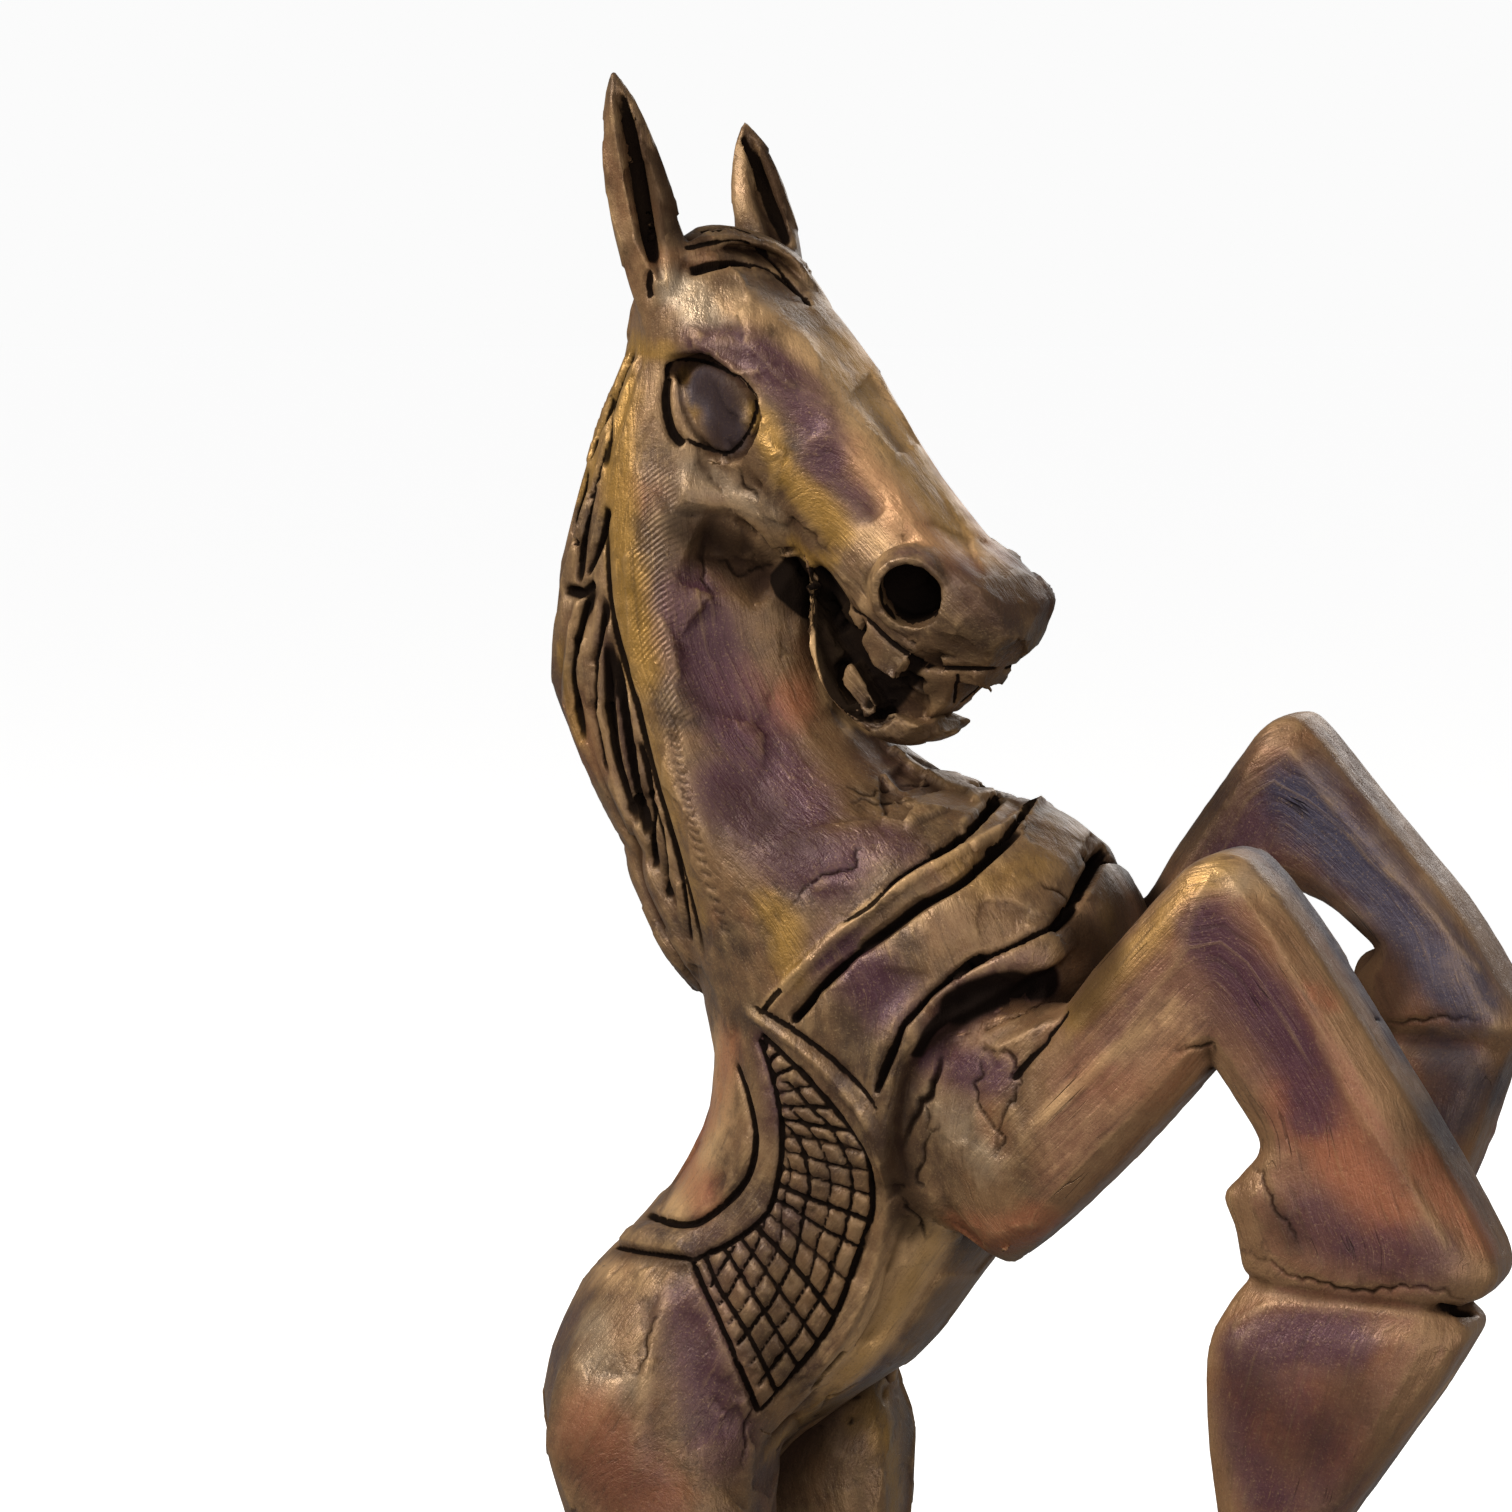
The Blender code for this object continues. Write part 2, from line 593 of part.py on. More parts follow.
def gouge(name, marks, cut, home):
    """A V cut along points with normals, tapering out at both ends."""
    depth, half = (size * UNIT for size in cut)
    last = len(marks) - 1
    rings = []
    for k, (point, normal) in enumerate(marks):
        run = (marks[min(k + 1, last)][0] - marks[max(k - 1, 0)][0]).normalized()
        across = run.cross(normal).normalized()
        out = across.cross(run).normalized()
        share = CUT_END if k in (0, last) else 1.0
        arm = across * (half * (1 + CUT_LIFT) * share)
        above = point + out * (depth * CUT_LIFT)
        rings.append([above + arm, point - out * (depth * share), above - arm])
    return loft(name, rings, home)


# Straps and seams cut in the trunk: x, z seen from the side, from the back to the median plane in front
STRAPS = (
    ((1.1, 59.2), (3.0, 61.4), (4.9, 63.2), (7.0, 65.2), (8.9, 67.0), (9.9, 68.6)),
    ((2.3, 58.6), (4.2, 61.0), (6.0, 62.5), (8.0, 64.0), (10.0, 65.5), (11.6, 68.1)),
    ((6.3, 55.4), (7.2, 58.6), (8.8, 60.7), (10.9, 61.9), (13.4, 63.2), (15.4, 64.8)),
)
STRAP_STEPS = 7
ARMHOLE = ((7.6, 54.4), (7.7, 57.2), (8.7, 59.4), (10.5, 60.7), (12.4, 60.8), (13.8, 59.9))


def trunk_line(skin, line, side, steps):
    return [from_side(skin, *along(line, k / steps), side) for k in range(steps + 1)]


def straps(skin, home):
    """Three cuts that wrap round the chest from flank to flank, and the seam round each shoulder."""
    for number, line in enumerate(STRAPS):
        right, left = (trunk_line(skin, line, side, STRAP_STEPS) for side in (RIGHT, LEFT))
        gouge(f"strap_{number + 1}", right + left[-2::-1], STRAP_CUT, home)
    for side in (RIGHT, LEFT):
        gouge(f"armhole_{side}", trunk_line(skin, ARMHOLE, side, STRAP_STEPS), BORDER_CUT, home)


# Saddle flap, x, z seen from the side: its rear and front edges from top to bottom, and the pad's two outer seams
FLAP_REAR = ((0.1, 58.6), (1.5, 57.2), (1.9, 55.4), (1.8, 52.8), (1.2, 50.7), (-0.2, 49.3), (-2.0, 48.1))
FLAP_FRONT = ((5.1, 54.6), (5.9, 52.8), (6.1, 51.0), (5.6, 48.7), (4.5, 46.2), (3.0, 43.8), (0.7, 41.5))
PAD_REAR = ((-0.3, 58.7), (0.5, 56.6), (0.6, 54.0), (0.0, 51.9), (-1.7, 50.3), (-3.8, 49.7), (-6.0, 49.0))
PAD_FRONT = ((0.0, 59.5), (2.7, 58.4), (5.0, 56.3), (6.6, 53.4), (7.1, 50.2), (6.8, 47.2), (4.6, 43.9), (1.8, 40.8))
PAD_LOW = ((-2.2, 47.9), (-4.2, 48.3), (-6.2, 48.5))
# Hatching in the flap, plainer on the hidden left side; crossing lines stop short of the flap's ends
ROWS_OF_HATCHING = {RIGHT: 12, LEFT: 5}
HATCH_PITCH = {RIGHT: 1.15, LEFT: 2.4}
CROSS_STEPS = {RIGHT: 7, LEFT: 5}
CROSS_FROM, CROSS_TO = 0.03, 0.97


def saddle_borders(skin, home):
    """The flap's edges and the two seams of the pad round it."""
    top = (FLAP_REAR[0], FLAP_FRONT[0])
    foot = (FLAP_REAR[-1], FLAP_FRONT[-1])
    for side in (RIGHT, LEFT):
        for number, line in enumerate((FLAP_REAR, FLAP_FRONT, PAD_REAR, PAD_FRONT, PAD_LOW, top, foot)):
            gouge(f"border_{number + 1}_{side}", trunk_line(skin, line, side, len(line)), BORDER_CUT, home)


def rulings(skin, home):
    """Straight cuts from the flap's rear edge to its front edge."""
    for side in (RIGHT, LEFT):
        rows = ROWS_OF_HATCHING[side]
        for k in range(1, rows + 1):
            share = k / (rows + 1)
            ruling = (along(FLAP_REAR, share), along(FLAP_FRONT, share))
            gouge(f"ruling_{k}_{side}", trunk_line(skin, ruling, side, 2), HATCH_CUT, home)


def cross_hatching(skin, home):
    """Cuts that follow the flap's front edge, one pitch apart, as far as its width allows."""
    for side in (RIGHT, LEFT):
        steps, pitch = CROSS_STEPS[side], HATCH_PITCH[side]
        crossings = []
        for k in range(steps + 1):
            share = CROSS_FROM + (CROSS_TO - CROSS_FROM) * k / steps
            rear, front = Vector(along(FLAP_REAR, share)), Vector(along(FLAP_FRONT, share))
            crossings.append((front, rear - front))
        widest = max(width.length for front, width in crossings)
        for number in range(1, int(widest / pitch) + 1):
            reach = number * pitch
            line = [front + width * (reach / width.length) for front, width in crossings if width.length > reach]
            if len(line) > 2:
                gouge(f"cross_{number}_{side}", [from_side(skin, x, z, side) for x, z in line], HATCH_CUT, home)


def boolean(target, operation, collection):
    """Join or cut the target with every object of the collection, which is emptied."""
    step = target.modifiers.new(operation.lower(), "BOOLEAN")
    step.operation = operation
    step.operand_type = "COLLECTION"
    step.collection = collection
    step.solver = "MANIFOLD"
    graph = bpy.context.evaluated_depsgraph_get()
    made = bpy.data.meshes.new_from_object(target.evaluated_get(graph))
    target.modifiers.clear()
    old = target.data
    target.data = made
    bpy.data.meshes.remove(old)
    for used in list(collection.objects):
        bpy.data.objects.remove(used)


def keep_main_body(thing):
    """Drop the chips that crossing cuts leave loose."""
    shape = bmesh.new()
    shape.from_mesh(thing.data)
    unseen = set(shape.verts)
    bodies = []
    while unseen:
        body, edge_of_search = set(), [unseen.pop()]
        while edge_of_search:
            vert = edge_of_search.pop()
            body.add(vert)
            for edge in vert.link_edges:
                other = edge.other_vert(vert)
                if other in unseen:
                    unseen.remove(other)
                    edge_of_search.append(other)
        bodies.append(body)
    main_body = max(bodies, key=len)
    chips = [vert for body in bodies if body is not main_body for vert in body]
    bmesh.ops.delete(shape, geom=chips, context="VERTS")
    shape.to_mesh(thing.data)
    shape.free()


def base(home):
    """The plinth, centred on the origin: as long ahead as behind, where it holds the tail and its margin."""
    half_length = max(-row[0] for row in TAIL) * UNIT + BASE_MARGIN
    *_, hoof_middle, hoof_half = RIGHT_HIND_LEG[-1]
    half_width = (hoof_middle + hoof_half) * UNIT + BASE_MARGIN
    bpy.ops.mesh.primitive_cube_add(size=1, location=(0, 0, BASE_HEIGHT / 2))
    made = bpy.context.object
    made.name = "base"
    made.scale = (2 * half_length, 2 * half_width, BASE_HEIGHT)
    bpy.ops.object.transform_apply(location=False, rotation=False, scale=True)
    for owner in list(made.users_collection):
        owner.objects.unlink(made)
    home.objects.link(made)
    edge = made.modifiers.new("chamfer", "BEVEL")
    edge.width = BASE_CHAMFER
    edge.segments = 2
    return made


def main():
    for old in list(bpy.data.objects):
        bpy.data.objects.remove(old)
    scene = bpy.context.scene
    home = bpy.data.collections.new("rearing_horse")
    scene.collection.children.link(home)
    pieces = bpy.data.collections.new("pieces_to_join")
    scene.collection.children.link(pieces)

    horse = trunk(home)
    skin = skin_of(horse)
    limb("right_foreleg", RIGHT_FORELEG, RIGHT, pieces)
    limb("left_foreleg", LEFT_FORELEG, LEFT, pieces)
    limb("right_hind_leg", RIGHT_HIND_LEG, RIGHT, pieces)
    limb("left_hind_leg", LEFT_HIND_LEG, LEFT, pieces)
    tail(pieces)
    mane(pieces)
    skull(pieces)
    ergot(pieces)
    head_bar("jaw", JAW, pieces)
    head_bar("mouth_core", MOUTH_CORE, pieces)
    teeth(pieces)
    nostrils("nostril_rim", NOSTRIL_RIM, -0.9, NOSTRIL_RISE, pieces)
    forelock(pieces)
    ear("right_ear", *RIGHT_EAR, pieces)
    ear("left_ear", *LEFT_EAR, pieces)
    boolean(horse, "UNION", pieces)

    nostrils("nostril", NOSTRIL_HOLE, -NOSTRIL_DEPTH, 1.2, pieces)
    eye_hollows(pieces)
    ear_hollow("right_ear_hollow", *RIGHT_EAR, pieces)
    ear_hollow("left_ear_hollow", *LEFT_EAR, pieces)
    straps(skin, pieces)
    boolean(horse, "DIFFERENCE", pieces)
    saddle_borders(skin, pieces)
    rulings(skin, pieces)
    cross_hatching(skin, pieces)
    boolean(horse, "DIFFERENCE", pieces)
    eye_balls(pieces)
    boolean(horse, "UNION", pieces)
    keep_main_body(horse)

    horse.name = "horse"
    horse.data.materials.clear()
    horse.data.materials.append(material("patinated_wood", (0.13, 0.075, 0.04), 0.5))
    plinth = base(home)
    plinth.data.materials.append(material("waxed_base_wood", (0.10, 0.055, 0.03), 0.5))


main()
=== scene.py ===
"""Dresses the rearing wooden horse: the same forms as the solids, carved finer, with a waxed patina."""

import math

import bmesh
import bpy
import numpy as np
from mathutils import Matrix, Vector
from mathutils.bvhtree import BVHTree
from mathutils.kdtree import KDTree


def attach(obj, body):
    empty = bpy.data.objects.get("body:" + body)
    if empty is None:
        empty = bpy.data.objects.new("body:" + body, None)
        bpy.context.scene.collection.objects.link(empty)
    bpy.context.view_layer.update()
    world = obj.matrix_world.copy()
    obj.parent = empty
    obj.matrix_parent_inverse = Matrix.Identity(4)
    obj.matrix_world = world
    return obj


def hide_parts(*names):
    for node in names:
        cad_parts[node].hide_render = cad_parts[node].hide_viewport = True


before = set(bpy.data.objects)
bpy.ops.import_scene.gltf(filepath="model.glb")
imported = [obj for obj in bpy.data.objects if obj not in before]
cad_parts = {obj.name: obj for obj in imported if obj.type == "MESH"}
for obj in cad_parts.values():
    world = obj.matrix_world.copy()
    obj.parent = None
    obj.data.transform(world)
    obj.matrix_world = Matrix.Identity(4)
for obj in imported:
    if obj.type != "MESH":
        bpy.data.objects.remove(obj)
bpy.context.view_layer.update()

HORSE_HEIGHT = 0.560
BASE_HEIGHT = 0.036
SEAT_GAP = 0.0003
UNIT = HORSE_HEIGHT / 100
MM = 0.001
RIGHT, LEFT = -1, 1
BOTH = (RIGHT, LEFT)

# Size of the grid that joins the forms, and the triangles left of it
VOXEL = 0.72 * MM
MOST_TRIANGLES = 192_000

# Camera: the photograph's view
CAMERA_TARGET = np.array([-0.010, 0.0, 0.427])
CAMERA_TURN, CAMERA_RISE = math.radians(20), math.radians(5)
CAMERA_DISTANCE = 1.30
FRAME_PX = 1512
FOCAL_PX = 5200
SENSOR_MM = 36

CAMERA_BACK = np.array([
    math.sin(CAMERA_TURN) * math.cos(CAMERA_RISE),
    -math.cos(CAMERA_TURN) * math.cos(CAMERA_RISE),
    math.sin(CAMERA_RISE),
])
CAMERA_RIGHT = np.array([math.cos(CAMERA_TURN), math.sin(CAMERA_TURN), 0.0])
CAMERA_UP = np.cross(CAMERA_BACK, CAMERA_RIGHT)
CAMERA_EYE = CAMERA_TARGET + CAMERA_BACK * CAMERA_DISTANCE


def sight(px, py):
    """The way from the camera's eye through a pixel of the photograph's frame."""
    return (
        CAMERA_RIGHT * (px - FRAME_PX / 2) / FOCAL_PX
        - CAMERA_UP * (py - FRAME_PX / 2) / FOCAL_PX
        - CAMERA_BACK
    )


# The forms, as in the solids
# Trunk and neck: back x, z and front x, z in the median plane, half width, squareness, lean
SPINE = (
    (-6.6, 88.6, -2.0, 84.6, 3.6, 2.0, 0.0),
    (-8.4, 84.3, 0.3, 81.3, 4.3, 1.9, 0.15),
    (-9.2, 80.2, 1.7, 77.3, 4.8, 1.8, 0.25),
    (-9.0, 75.8, 2.6, 73.3, 5.1, 1.8, 0.3),
    (-7.9, 71.3, 5.0, 70.3, 5.6, 1.9, 0.3),
    (-6.6, 67.2, 8.0, 68.8, 6.4, 2.0, 0.25),
    (-5.2, 63.7, 11.9, 67.8, 7.2, 2.2, 0.15),
    (-3.9, 60.6, 14.4, 65.8, 7.8, 2.4, 0.05),
    (-3.1, 57.9, 16.0, 62.7, 8.1, 2.5, 0.0),
    (-3.2, 55.2, 15.4, 57.9, 8.0, 2.4, 0.0),
    (-3.9, 52.8, 13.1, 53.3, 7.6, 2.3, 0.0),
    (-5.8, 50.0, 10.2, 49.1, 7.4, 2.3, 0.0),
    (-8.9, 46.8, 7.9, 45.9, 7.8, 2.4, 0.0),
    (-10.6, 43.4, 5.8, 43.2, 8.2, 2.4, 0.0),
    (-11.2, 40.0, 2.7, 41.0, 7.6, 2.3, 0.0),
    (-10.3, 37.0, -0.4, 38.6, 6.2, 2.1, 0.0),
    (-8.2, 34.6, -2.2, 36.0, 3.6, 2.0, 0.0),
)
# Limbs: outer x, z and inner x, z of each cut, the middle's distance from the median plane, half width
RIGHT_FORELEG = (
    (3.6, 57.2, 5.8, 52.4, 3.4, 2.2),
    (8.2, 58.6, 8.8, 51.0, 5.0, 2.9),
    (11.6, 59.0, 11.4, 49.0, 5.9, 3.1),
    (14.6, 60.0, 13.0, 49.4, 6.4, 3.1),
    (16.6, 62.3, 16.7, 52.8, 6.6, 3.0),
    (19.7, 65.8, 20.4, 56.9, 6.7, 2.9),
    (20.9, 66.8, 21.4, 58.1, 6.7, 2.8),
    (22.3, 67.1, 21.5, 58.1, 6.7, 2.7),
    (23.6, 66.3, 21.6, 58.1, 6.7, 2.7),
    (26.2, 62.9, 22.6, 56.7, 6.7, 2.7),
    (29.0, 58.6, 23.6, 54.9, 6.7, 2.7),
    (30.9, 55.6, 22.8, 53.6, 6.7, 2.8),
    (32.6, 52.7, 22.1, 52.7, 6.7, 3.0),
    (33.7, 50.4, 22.6, 51.3, 6.7, 3.0),
    (33.3, 49.2, 22.9, 49.7, 6.7, 2.8),
    (32.0, 48.5, 23.2, 49.3, 6.7, 2.5),
    (32.6, 47.7, 22.3, 48.1, 6.7, 2.9),
    (32.3, 46.8, 21.5, 46.3, 6.7, 3.2),
    (30.6, 44.0, 21.5, 42.9, 6.7, 3.3),
    (27.5, 39.4, 22.0, 38.9, 6.7, 3.0),
    (25.1, 35.8, 22.5, 35.6, 6.7, 2.4),
)
LEFT_FORELEG = (
    (4.2, 58.0, 6.2, 53.0, 3.4, 2.2),
    (8.8, 60.4, 9.6, 52.4, 5.0, 2.9),
    (11.8, 61.8, 12.2, 52.4, 5.8, 3.0),
    (14.6, 63.2, 15.3, 54.3, 6.4, 3.1),
    (16.4, 66.0, 18.5, 58.5, 6.6, 3.0),
    (19.1, 69.9, 20.0, 62.5, 6.7, 2.9),
    (20.3, 71.4, 20.4, 64.0, 6.7, 2.8),
    (21.3, 71.8, 20.6, 64.3, 6.7, 2.7),
    (22.3, 71.4, 20.9, 64.3, 6.7, 2.7),
    (24.4, 68.9, 23.0, 63.6, 6.7, 2.7),
    (26.9, 66.0, 24.8, 62.2, 6.7, 2.7),
    (29.1, 63.4, 25.3, 61.5, 6.7, 2.8),
    (31.0, 60.4, 24.4, 60.3, 6.7, 3.0),
    (32.1, 58.7, 24.6, 58.9, 6.7, 3.0),
    (31.9, 57.9, 25.1, 58.2, 6.7, 2.6),
    (31.4, 57.4, 24.9, 57.7, 6.7, 2.6),
    (31.0, 56.4, 24.0, 56.4, 6.7, 3.0),
    (29.2, 51.2, 23.4, 52.2, 6.7, 3.2),
    (26.6, 46.8, 23.2, 48.2, 6.7, 2.8),
    (24.8, 44.2, 23.2, 45.2, 6.7, 2.3),
)
RIGHT_HIND_LEG = (
    (-7.4, 46.6, -3.6, 47.8, 4.0, 2.0),
    (-8.6, 43.4, -1.3, 45.0, 4.9, 3.2),
    (-9.1, 40.2, 0.1, 41.0, 5.3, 3.8),
    (-8.1, 36.6, 0.5, 36.4, 5.4, 3.6),
    (-6.9, 32.0, 0.3, 30.9, 5.4, 3.2),
    (-7.4, 28.0, -1.2, 26.6, 5.4, 2.9),
    (-9.6, 24.4, -3.2, 22.8, 5.4, 2.7),
    (-11.6, 21.6, -4.6, 19.6, 5.4, 2.7),
    (-11.4, 19.6, -4.8, 17.6, 5.4, 2.7),
    (-9.6, 15.4, -4.1, 14.4, 5.5, 2.4),
    (-8.0, 11.0, -3.1, 11.0, 5.6, 2.4),
    (-8.1, 8.6, -1.9, 8.9, 5.7, 2.8),
    (-7.0, 6.9, -1.4, 7.4, 5.7, 2.4),
    (-7.6, 5.8, -0.2, 6.6, 5.7, 3.0),
    (-8.2, 0.0, 3.0, 0.0, 5.8, 3.4),
)
LEFT_HIND_LEG = (
    (-6.4, 45.6, 0.0, 46.6, 4.2, 2.4),
    (-7.6, 42.6, 1.9, 43.4, 5.0, 3.3),
    (-7.6, 39.4, 3.2, 39.8, 5.4, 3.7),
    (-6.2, 35.8, 3.3, 35.2, 5.4, 3.4),
    (-4.2, 31.4, 2.6, 30.2, 5.4, 3.1),
    (-4.2, 27.6, 1.9, 26.2, 5.4, 2.8),
    (-6.2, 24.0, 0.2, 22.6, 5.4, 2.7),
    (-8.0, 21.4, -1.0, 19.4, 5.4, 2.7),
    (-7.8, 19.2, -1.1, 17.4, 5.4, 2.7),
    (-6.0, 15.2, -0.5, 14.2, 5.5, 2.4),
    (-4.4, 11.0, 0.5, 11.0, 5.6, 2.4),
    (-4.5, 8.6, 1.7, 8.9, 5.7, 2.8),
    (-3.4, 6.9, 2.2, 7.4, 5.7, 2.4),
    (-4.0, 5.8, 3.4, 6.6, 5.7, 3.0),
    (-4.6, 0.0, 6.6, 0.0, 5.8, 3.4),
)
ERGOT = (25.3, 60.2, 1.35)
EDGE_CHAMFER = 0.34
# Tail: back x, z and front x, z of each cut, half width
TAIL = (
    (-8.6, 41.0, -4.6, 42.0, 1.6),
    (-9.8, 37.0, -5.6, 37.5, 1.9),
    (-10.3, 33.0, -6.0, 33.6, 2.1),
    (-12.0, 28.4, -7.4, 29.4, 2.4),
    (-14.6, 23.0, -9.6, 24.2, 2.7),
    (-16.4, 16.8, -10.9, 17.4, 2.8),
    (-16.8, 10.0, -11.2, 10.0, 2.6),
    (-16.2, 4.0, -11.3, 4.0, 2.3),
    (-15.8, 0.0, -11.4, 0.0, 2.1),
)
# Mane, in three falls: crest x, z and root x, z of each cut, half width
MANE = (
    (
        (-6.8, 89.8, -4.6, 89.2, 2.4),
        (-8.3, 86.6, -5.7, 85.9, 3.4),
        (-9.7, 82.8, -6.7, 82.0, 3.8),
        (-10.7, 79.3, -7.2, 78.6, 3.9),
        (-11.1, 76.8, -7.4, 75.9, 3.8),
        (-10.6, 74.6, -7.8, 74.0, 3.0),
    ),
    (
        (-9.4, 80.2, -7.2, 79.4, 2.8),
        (-10.8, 77.2, -6.9, 76.2, 4.3),
        (-11.4, 74.0, -6.3, 73.3, 4.7),
        (-10.9, 71.6, -5.7, 71.2, 4.8),
        (-9.7, 69.0, -5.1, 68.7, 4.8),
        (-8.3, 66.6, -4.5, 66.1, 4.6),
        (-7.1, 64.6, -4.8, 64.2, 3.2),
    ),
    (
        (-7.4, 68.4, -5.2, 68.0, 2.8),
        (-7.8, 65.4, -4.1, 64.9, 4.5),
        (-6.9, 63.0, -3.4, 62.7, 4.7),
        (-5.8, 61.0, -2.7, 60.8, 4.6),
        (-4.4, 59.4, -2.4, 59.3, 3.2),
    ),
)
MANE_LOCKS, TAIL_LOCKS = 7, 7
# Head: a frame of its own, along the face, across it towards the brow, and to the head's right
HEAD_POLL = (-3.4, 0.6, 91.6)
HEAD_PITCH = math.radians(48)
HEAD_TURN = math.radians(-18)
# Skull: u, top v, bottom v, half width of the face's flat, greatest half width, its v, half width below
SKULL = (
    (-1.8, -0.2, -3.4, 1.7, 2.6, -1.8, 1.8),
    (0.2, 1.0, -5.2, 2.1, 3.9, -1.9, 2.6),
    (2.5, 1.5, -7.2, 2.4, 4.4, -1.9, 3.0),
    (5.0, 1.9, -8.3, 2.4, 4.6, -1.7, 3.1),
    (7.6, 2.0, -8.3, 2.3, 4.5, -1.8, 3.0),
    (9.6, 1.9, -5.8, 2.2, 4.1, -1.8, 2.8),
    (12.4, 1.8, -4.5, 2.1, 3.4, -1.4, 2.6),
    (15.2, 1.7, -3.5, 2.1, 3.0, -1.1, 2.6),
    (17.6, 1.8, -3.4, 2.1, 3.1, -0.8, 2.7),
    (19.3, 2.2, -3.1, 2.3, 3.2, -0.4, 2.5),
    (20.7, 2.6, -2.1, 2.3, 3.0, 0.2, 2.2),
    (21.9, 2.3, -0.9, 1.9, 2.5, 0.7, 1.7),
    (22.8, 1.5, 0.2, 1.2, 1.6, 0.9, 1.1),
)
# Rim of the lower jaw, and the core of the mouth inside it: top u, v and bottom u, v, half width
JAW = (
    (12.4, -2.8, 12.2, -4.5, 2.7),
    (14.6, -3.9, 13.8, -4.6, 2.9),
    (16.4, -5.4, 15.7, -5.9, 2.95),
    (18.7, -6.3, 18.4, -7.1, 2.9),
    (20.6, -6.1, 20.8, -7.0, 2.5),
    (22.0, -5.2, 22.7, -5.8, 1.9),
    (22.6, -4.1, 23.5, -4.1, 1.1),
)
MOUTH_CORE = (
    (12.0, -2.5, 12.4, -4.1, 1.9),
    (15.0, -2.6, 14.8, -4.4, 1.9),
    (17.2, -2.4, 16.8, -5.8, 1.8),
    (19.4, -2.2, 18.9, -6.6, 1.7),
    (21.0, -1.5, 20.9, -6.4, 1.5),
    (22.6, -0.4, 22.2, -5.2, 1.1),
)
SIDE_TEETH = (
    (((15.9, -5.1), (17.95, -5.4), (17.95, -5.85), (15.9, -5.5)), 1.2, 2.1),
    (((18.5, -5.1), (21.0, -5.3), (20.7, -6.0), (18.9, -5.95)), 1.2, 2.5),
    (((21.4, -5.1), (23.0, -4.1), (22.6, -5.6), (21.5, -6.0)), 0.3, 2.1),
    (((16.4, -2.9), (17.3, -2.7), (18.0, -3.8), (17.0, -3.75)), 1.2, 2.35),
    (((18.1, -2.8), (20.6, -1.9), (20.8, -3.6), (19.7, -4.0), (18.4, -3.8)), 1.2, 2.8),
)
FRONT_TEETH = (
    ((20.0, -1.8, 2.0), (22.6, 0.2, 1.2)),
    ((20.8, -3.2, 1.8), (23.3, -1.4, 1.0)),
)
EYE_HOLLOW = ((3.1, -2.6), (4.4, -0.9), (8.0, -0.5), (8.9, -2.8), (6.6, -4.6), (4.3, -4.4))
EYE_HOLLOW_FLOOR, EYE_HOLLOW_TOP = 3.2, 7.0
EYE_BALL = (6.5, -2.45, 3.0)
EYE_RADII = (2.6, 2.1, 1.1)
NOSTRIL = (18.8, -0.15, 3.0)
NOSTRIL_OUT = (0.5, 0.1, 0.86)
NOSTRIL_RIM, NOSTRIL_HOLE = 1.85, 1.35
NOSTRIL_RISE, NOSTRIL_DEPTH = 0.35, 1.7
# Forelock: u, v, w and half width along the face
FORELOCK = (
    (-0.5, -0.6, 2.7, 0.9),
    (-0.6, 0.6, 1.6, 1.2),
    (-0.4, 1.0, 0.2, 1.3),
    (0.3, 1.3, -1.3, 1.3),
    (1.6, 1.3, -2.3, 1.1),
    (3.8, 0.9, -2.7, 0.4),
)
FORELOCK_RISE = 0.75
# Ears: middle of the root u, v, w; the tip's offset x, y, z; the way that the hollow faces
RIGHT_EAR = ((-0.1, -1.5, 3.3), (-1.75, -1.1, 9.4), math.radians(-62))
LEFT_EAR = ((0.7, 0.1, -3.0), (-1.9, 0.9, 6.9), math.radians(-48))
EAR_SECTIONS = (
    (-0.18, 1.3, 1.2),
    (0.1, 1.55, 1.2),
    (0.35, 1.6, 1.05),
    (0.62, 1.35, 0.85),
    (0.85, 0.8, 0.55),
    (1.0, 0.12, 0.12),
)
EAR_CORNERS = ((-1, 0.1), (-0.35, 1), (0.35, 1), (1, 0.1), (0.75, -0.6), (0, -1), (-0.75, -0.6))
EAR_CUT = (1.0, 0.72)
EAR_HOLLOW_SECTIONS = ((0.02, 0.5), (0.2, 1.0), (0.55, 1.0), (0.8, 0.75), (0.95, 0.15))

# Long borders of the saddle's flap, on the far side: x, z
FLAP_REAR = ((0.1, 58.6), (1.5, 57.2), (1.9, 55.4), (1.8, 52.8), (1.2, 50.7), (-0.2, 49.3), (-2.0, 48.1))
FLAP_FRONT = ((5.1, 54.6), (5.9, 52.8), (6.1, 51.0), (5.6, 48.7), (4.5, 46.2), (3.0, 43.8), (0.7, 41.5))


def place(x, y, z):
    """A point given in hundredths of the horse's height, measured from the base's top."""
    return Vector((x * UNIT, y * UNIT, BASE_HEIGHT + SEAT_GAP + z * UNIT))


def along(rows, share):
    """The row at a share, from 0 to 1, of the way along a smooth curve through rows (Catmull-Rom)."""
    rows = np.asarray(rows, float)
    last = len(rows) - 1
    t = np.clip(np.atleast_1d(share), 0, 1) * last
    i = np.minimum(t.astype(int), last - 1)
    f = (t - i)[:, None]
    p, q, r, s = (rows[np.clip(i + k, 0, last)] for k in (-1, 0, 1, 2))
    return 0.5 * (2 * q + (r - p) * f + (2 * p - 5 * q + 4 * r - s) * f**2 + (3 * q - p - 3 * r + s) * f**3)


def finer(rows, steps):
    """Rows with steps - 1 more between each pair, on a smooth curve."""
    return along(rows, np.linspace(0, 1, (len(rows) - 1) * steps + 1))


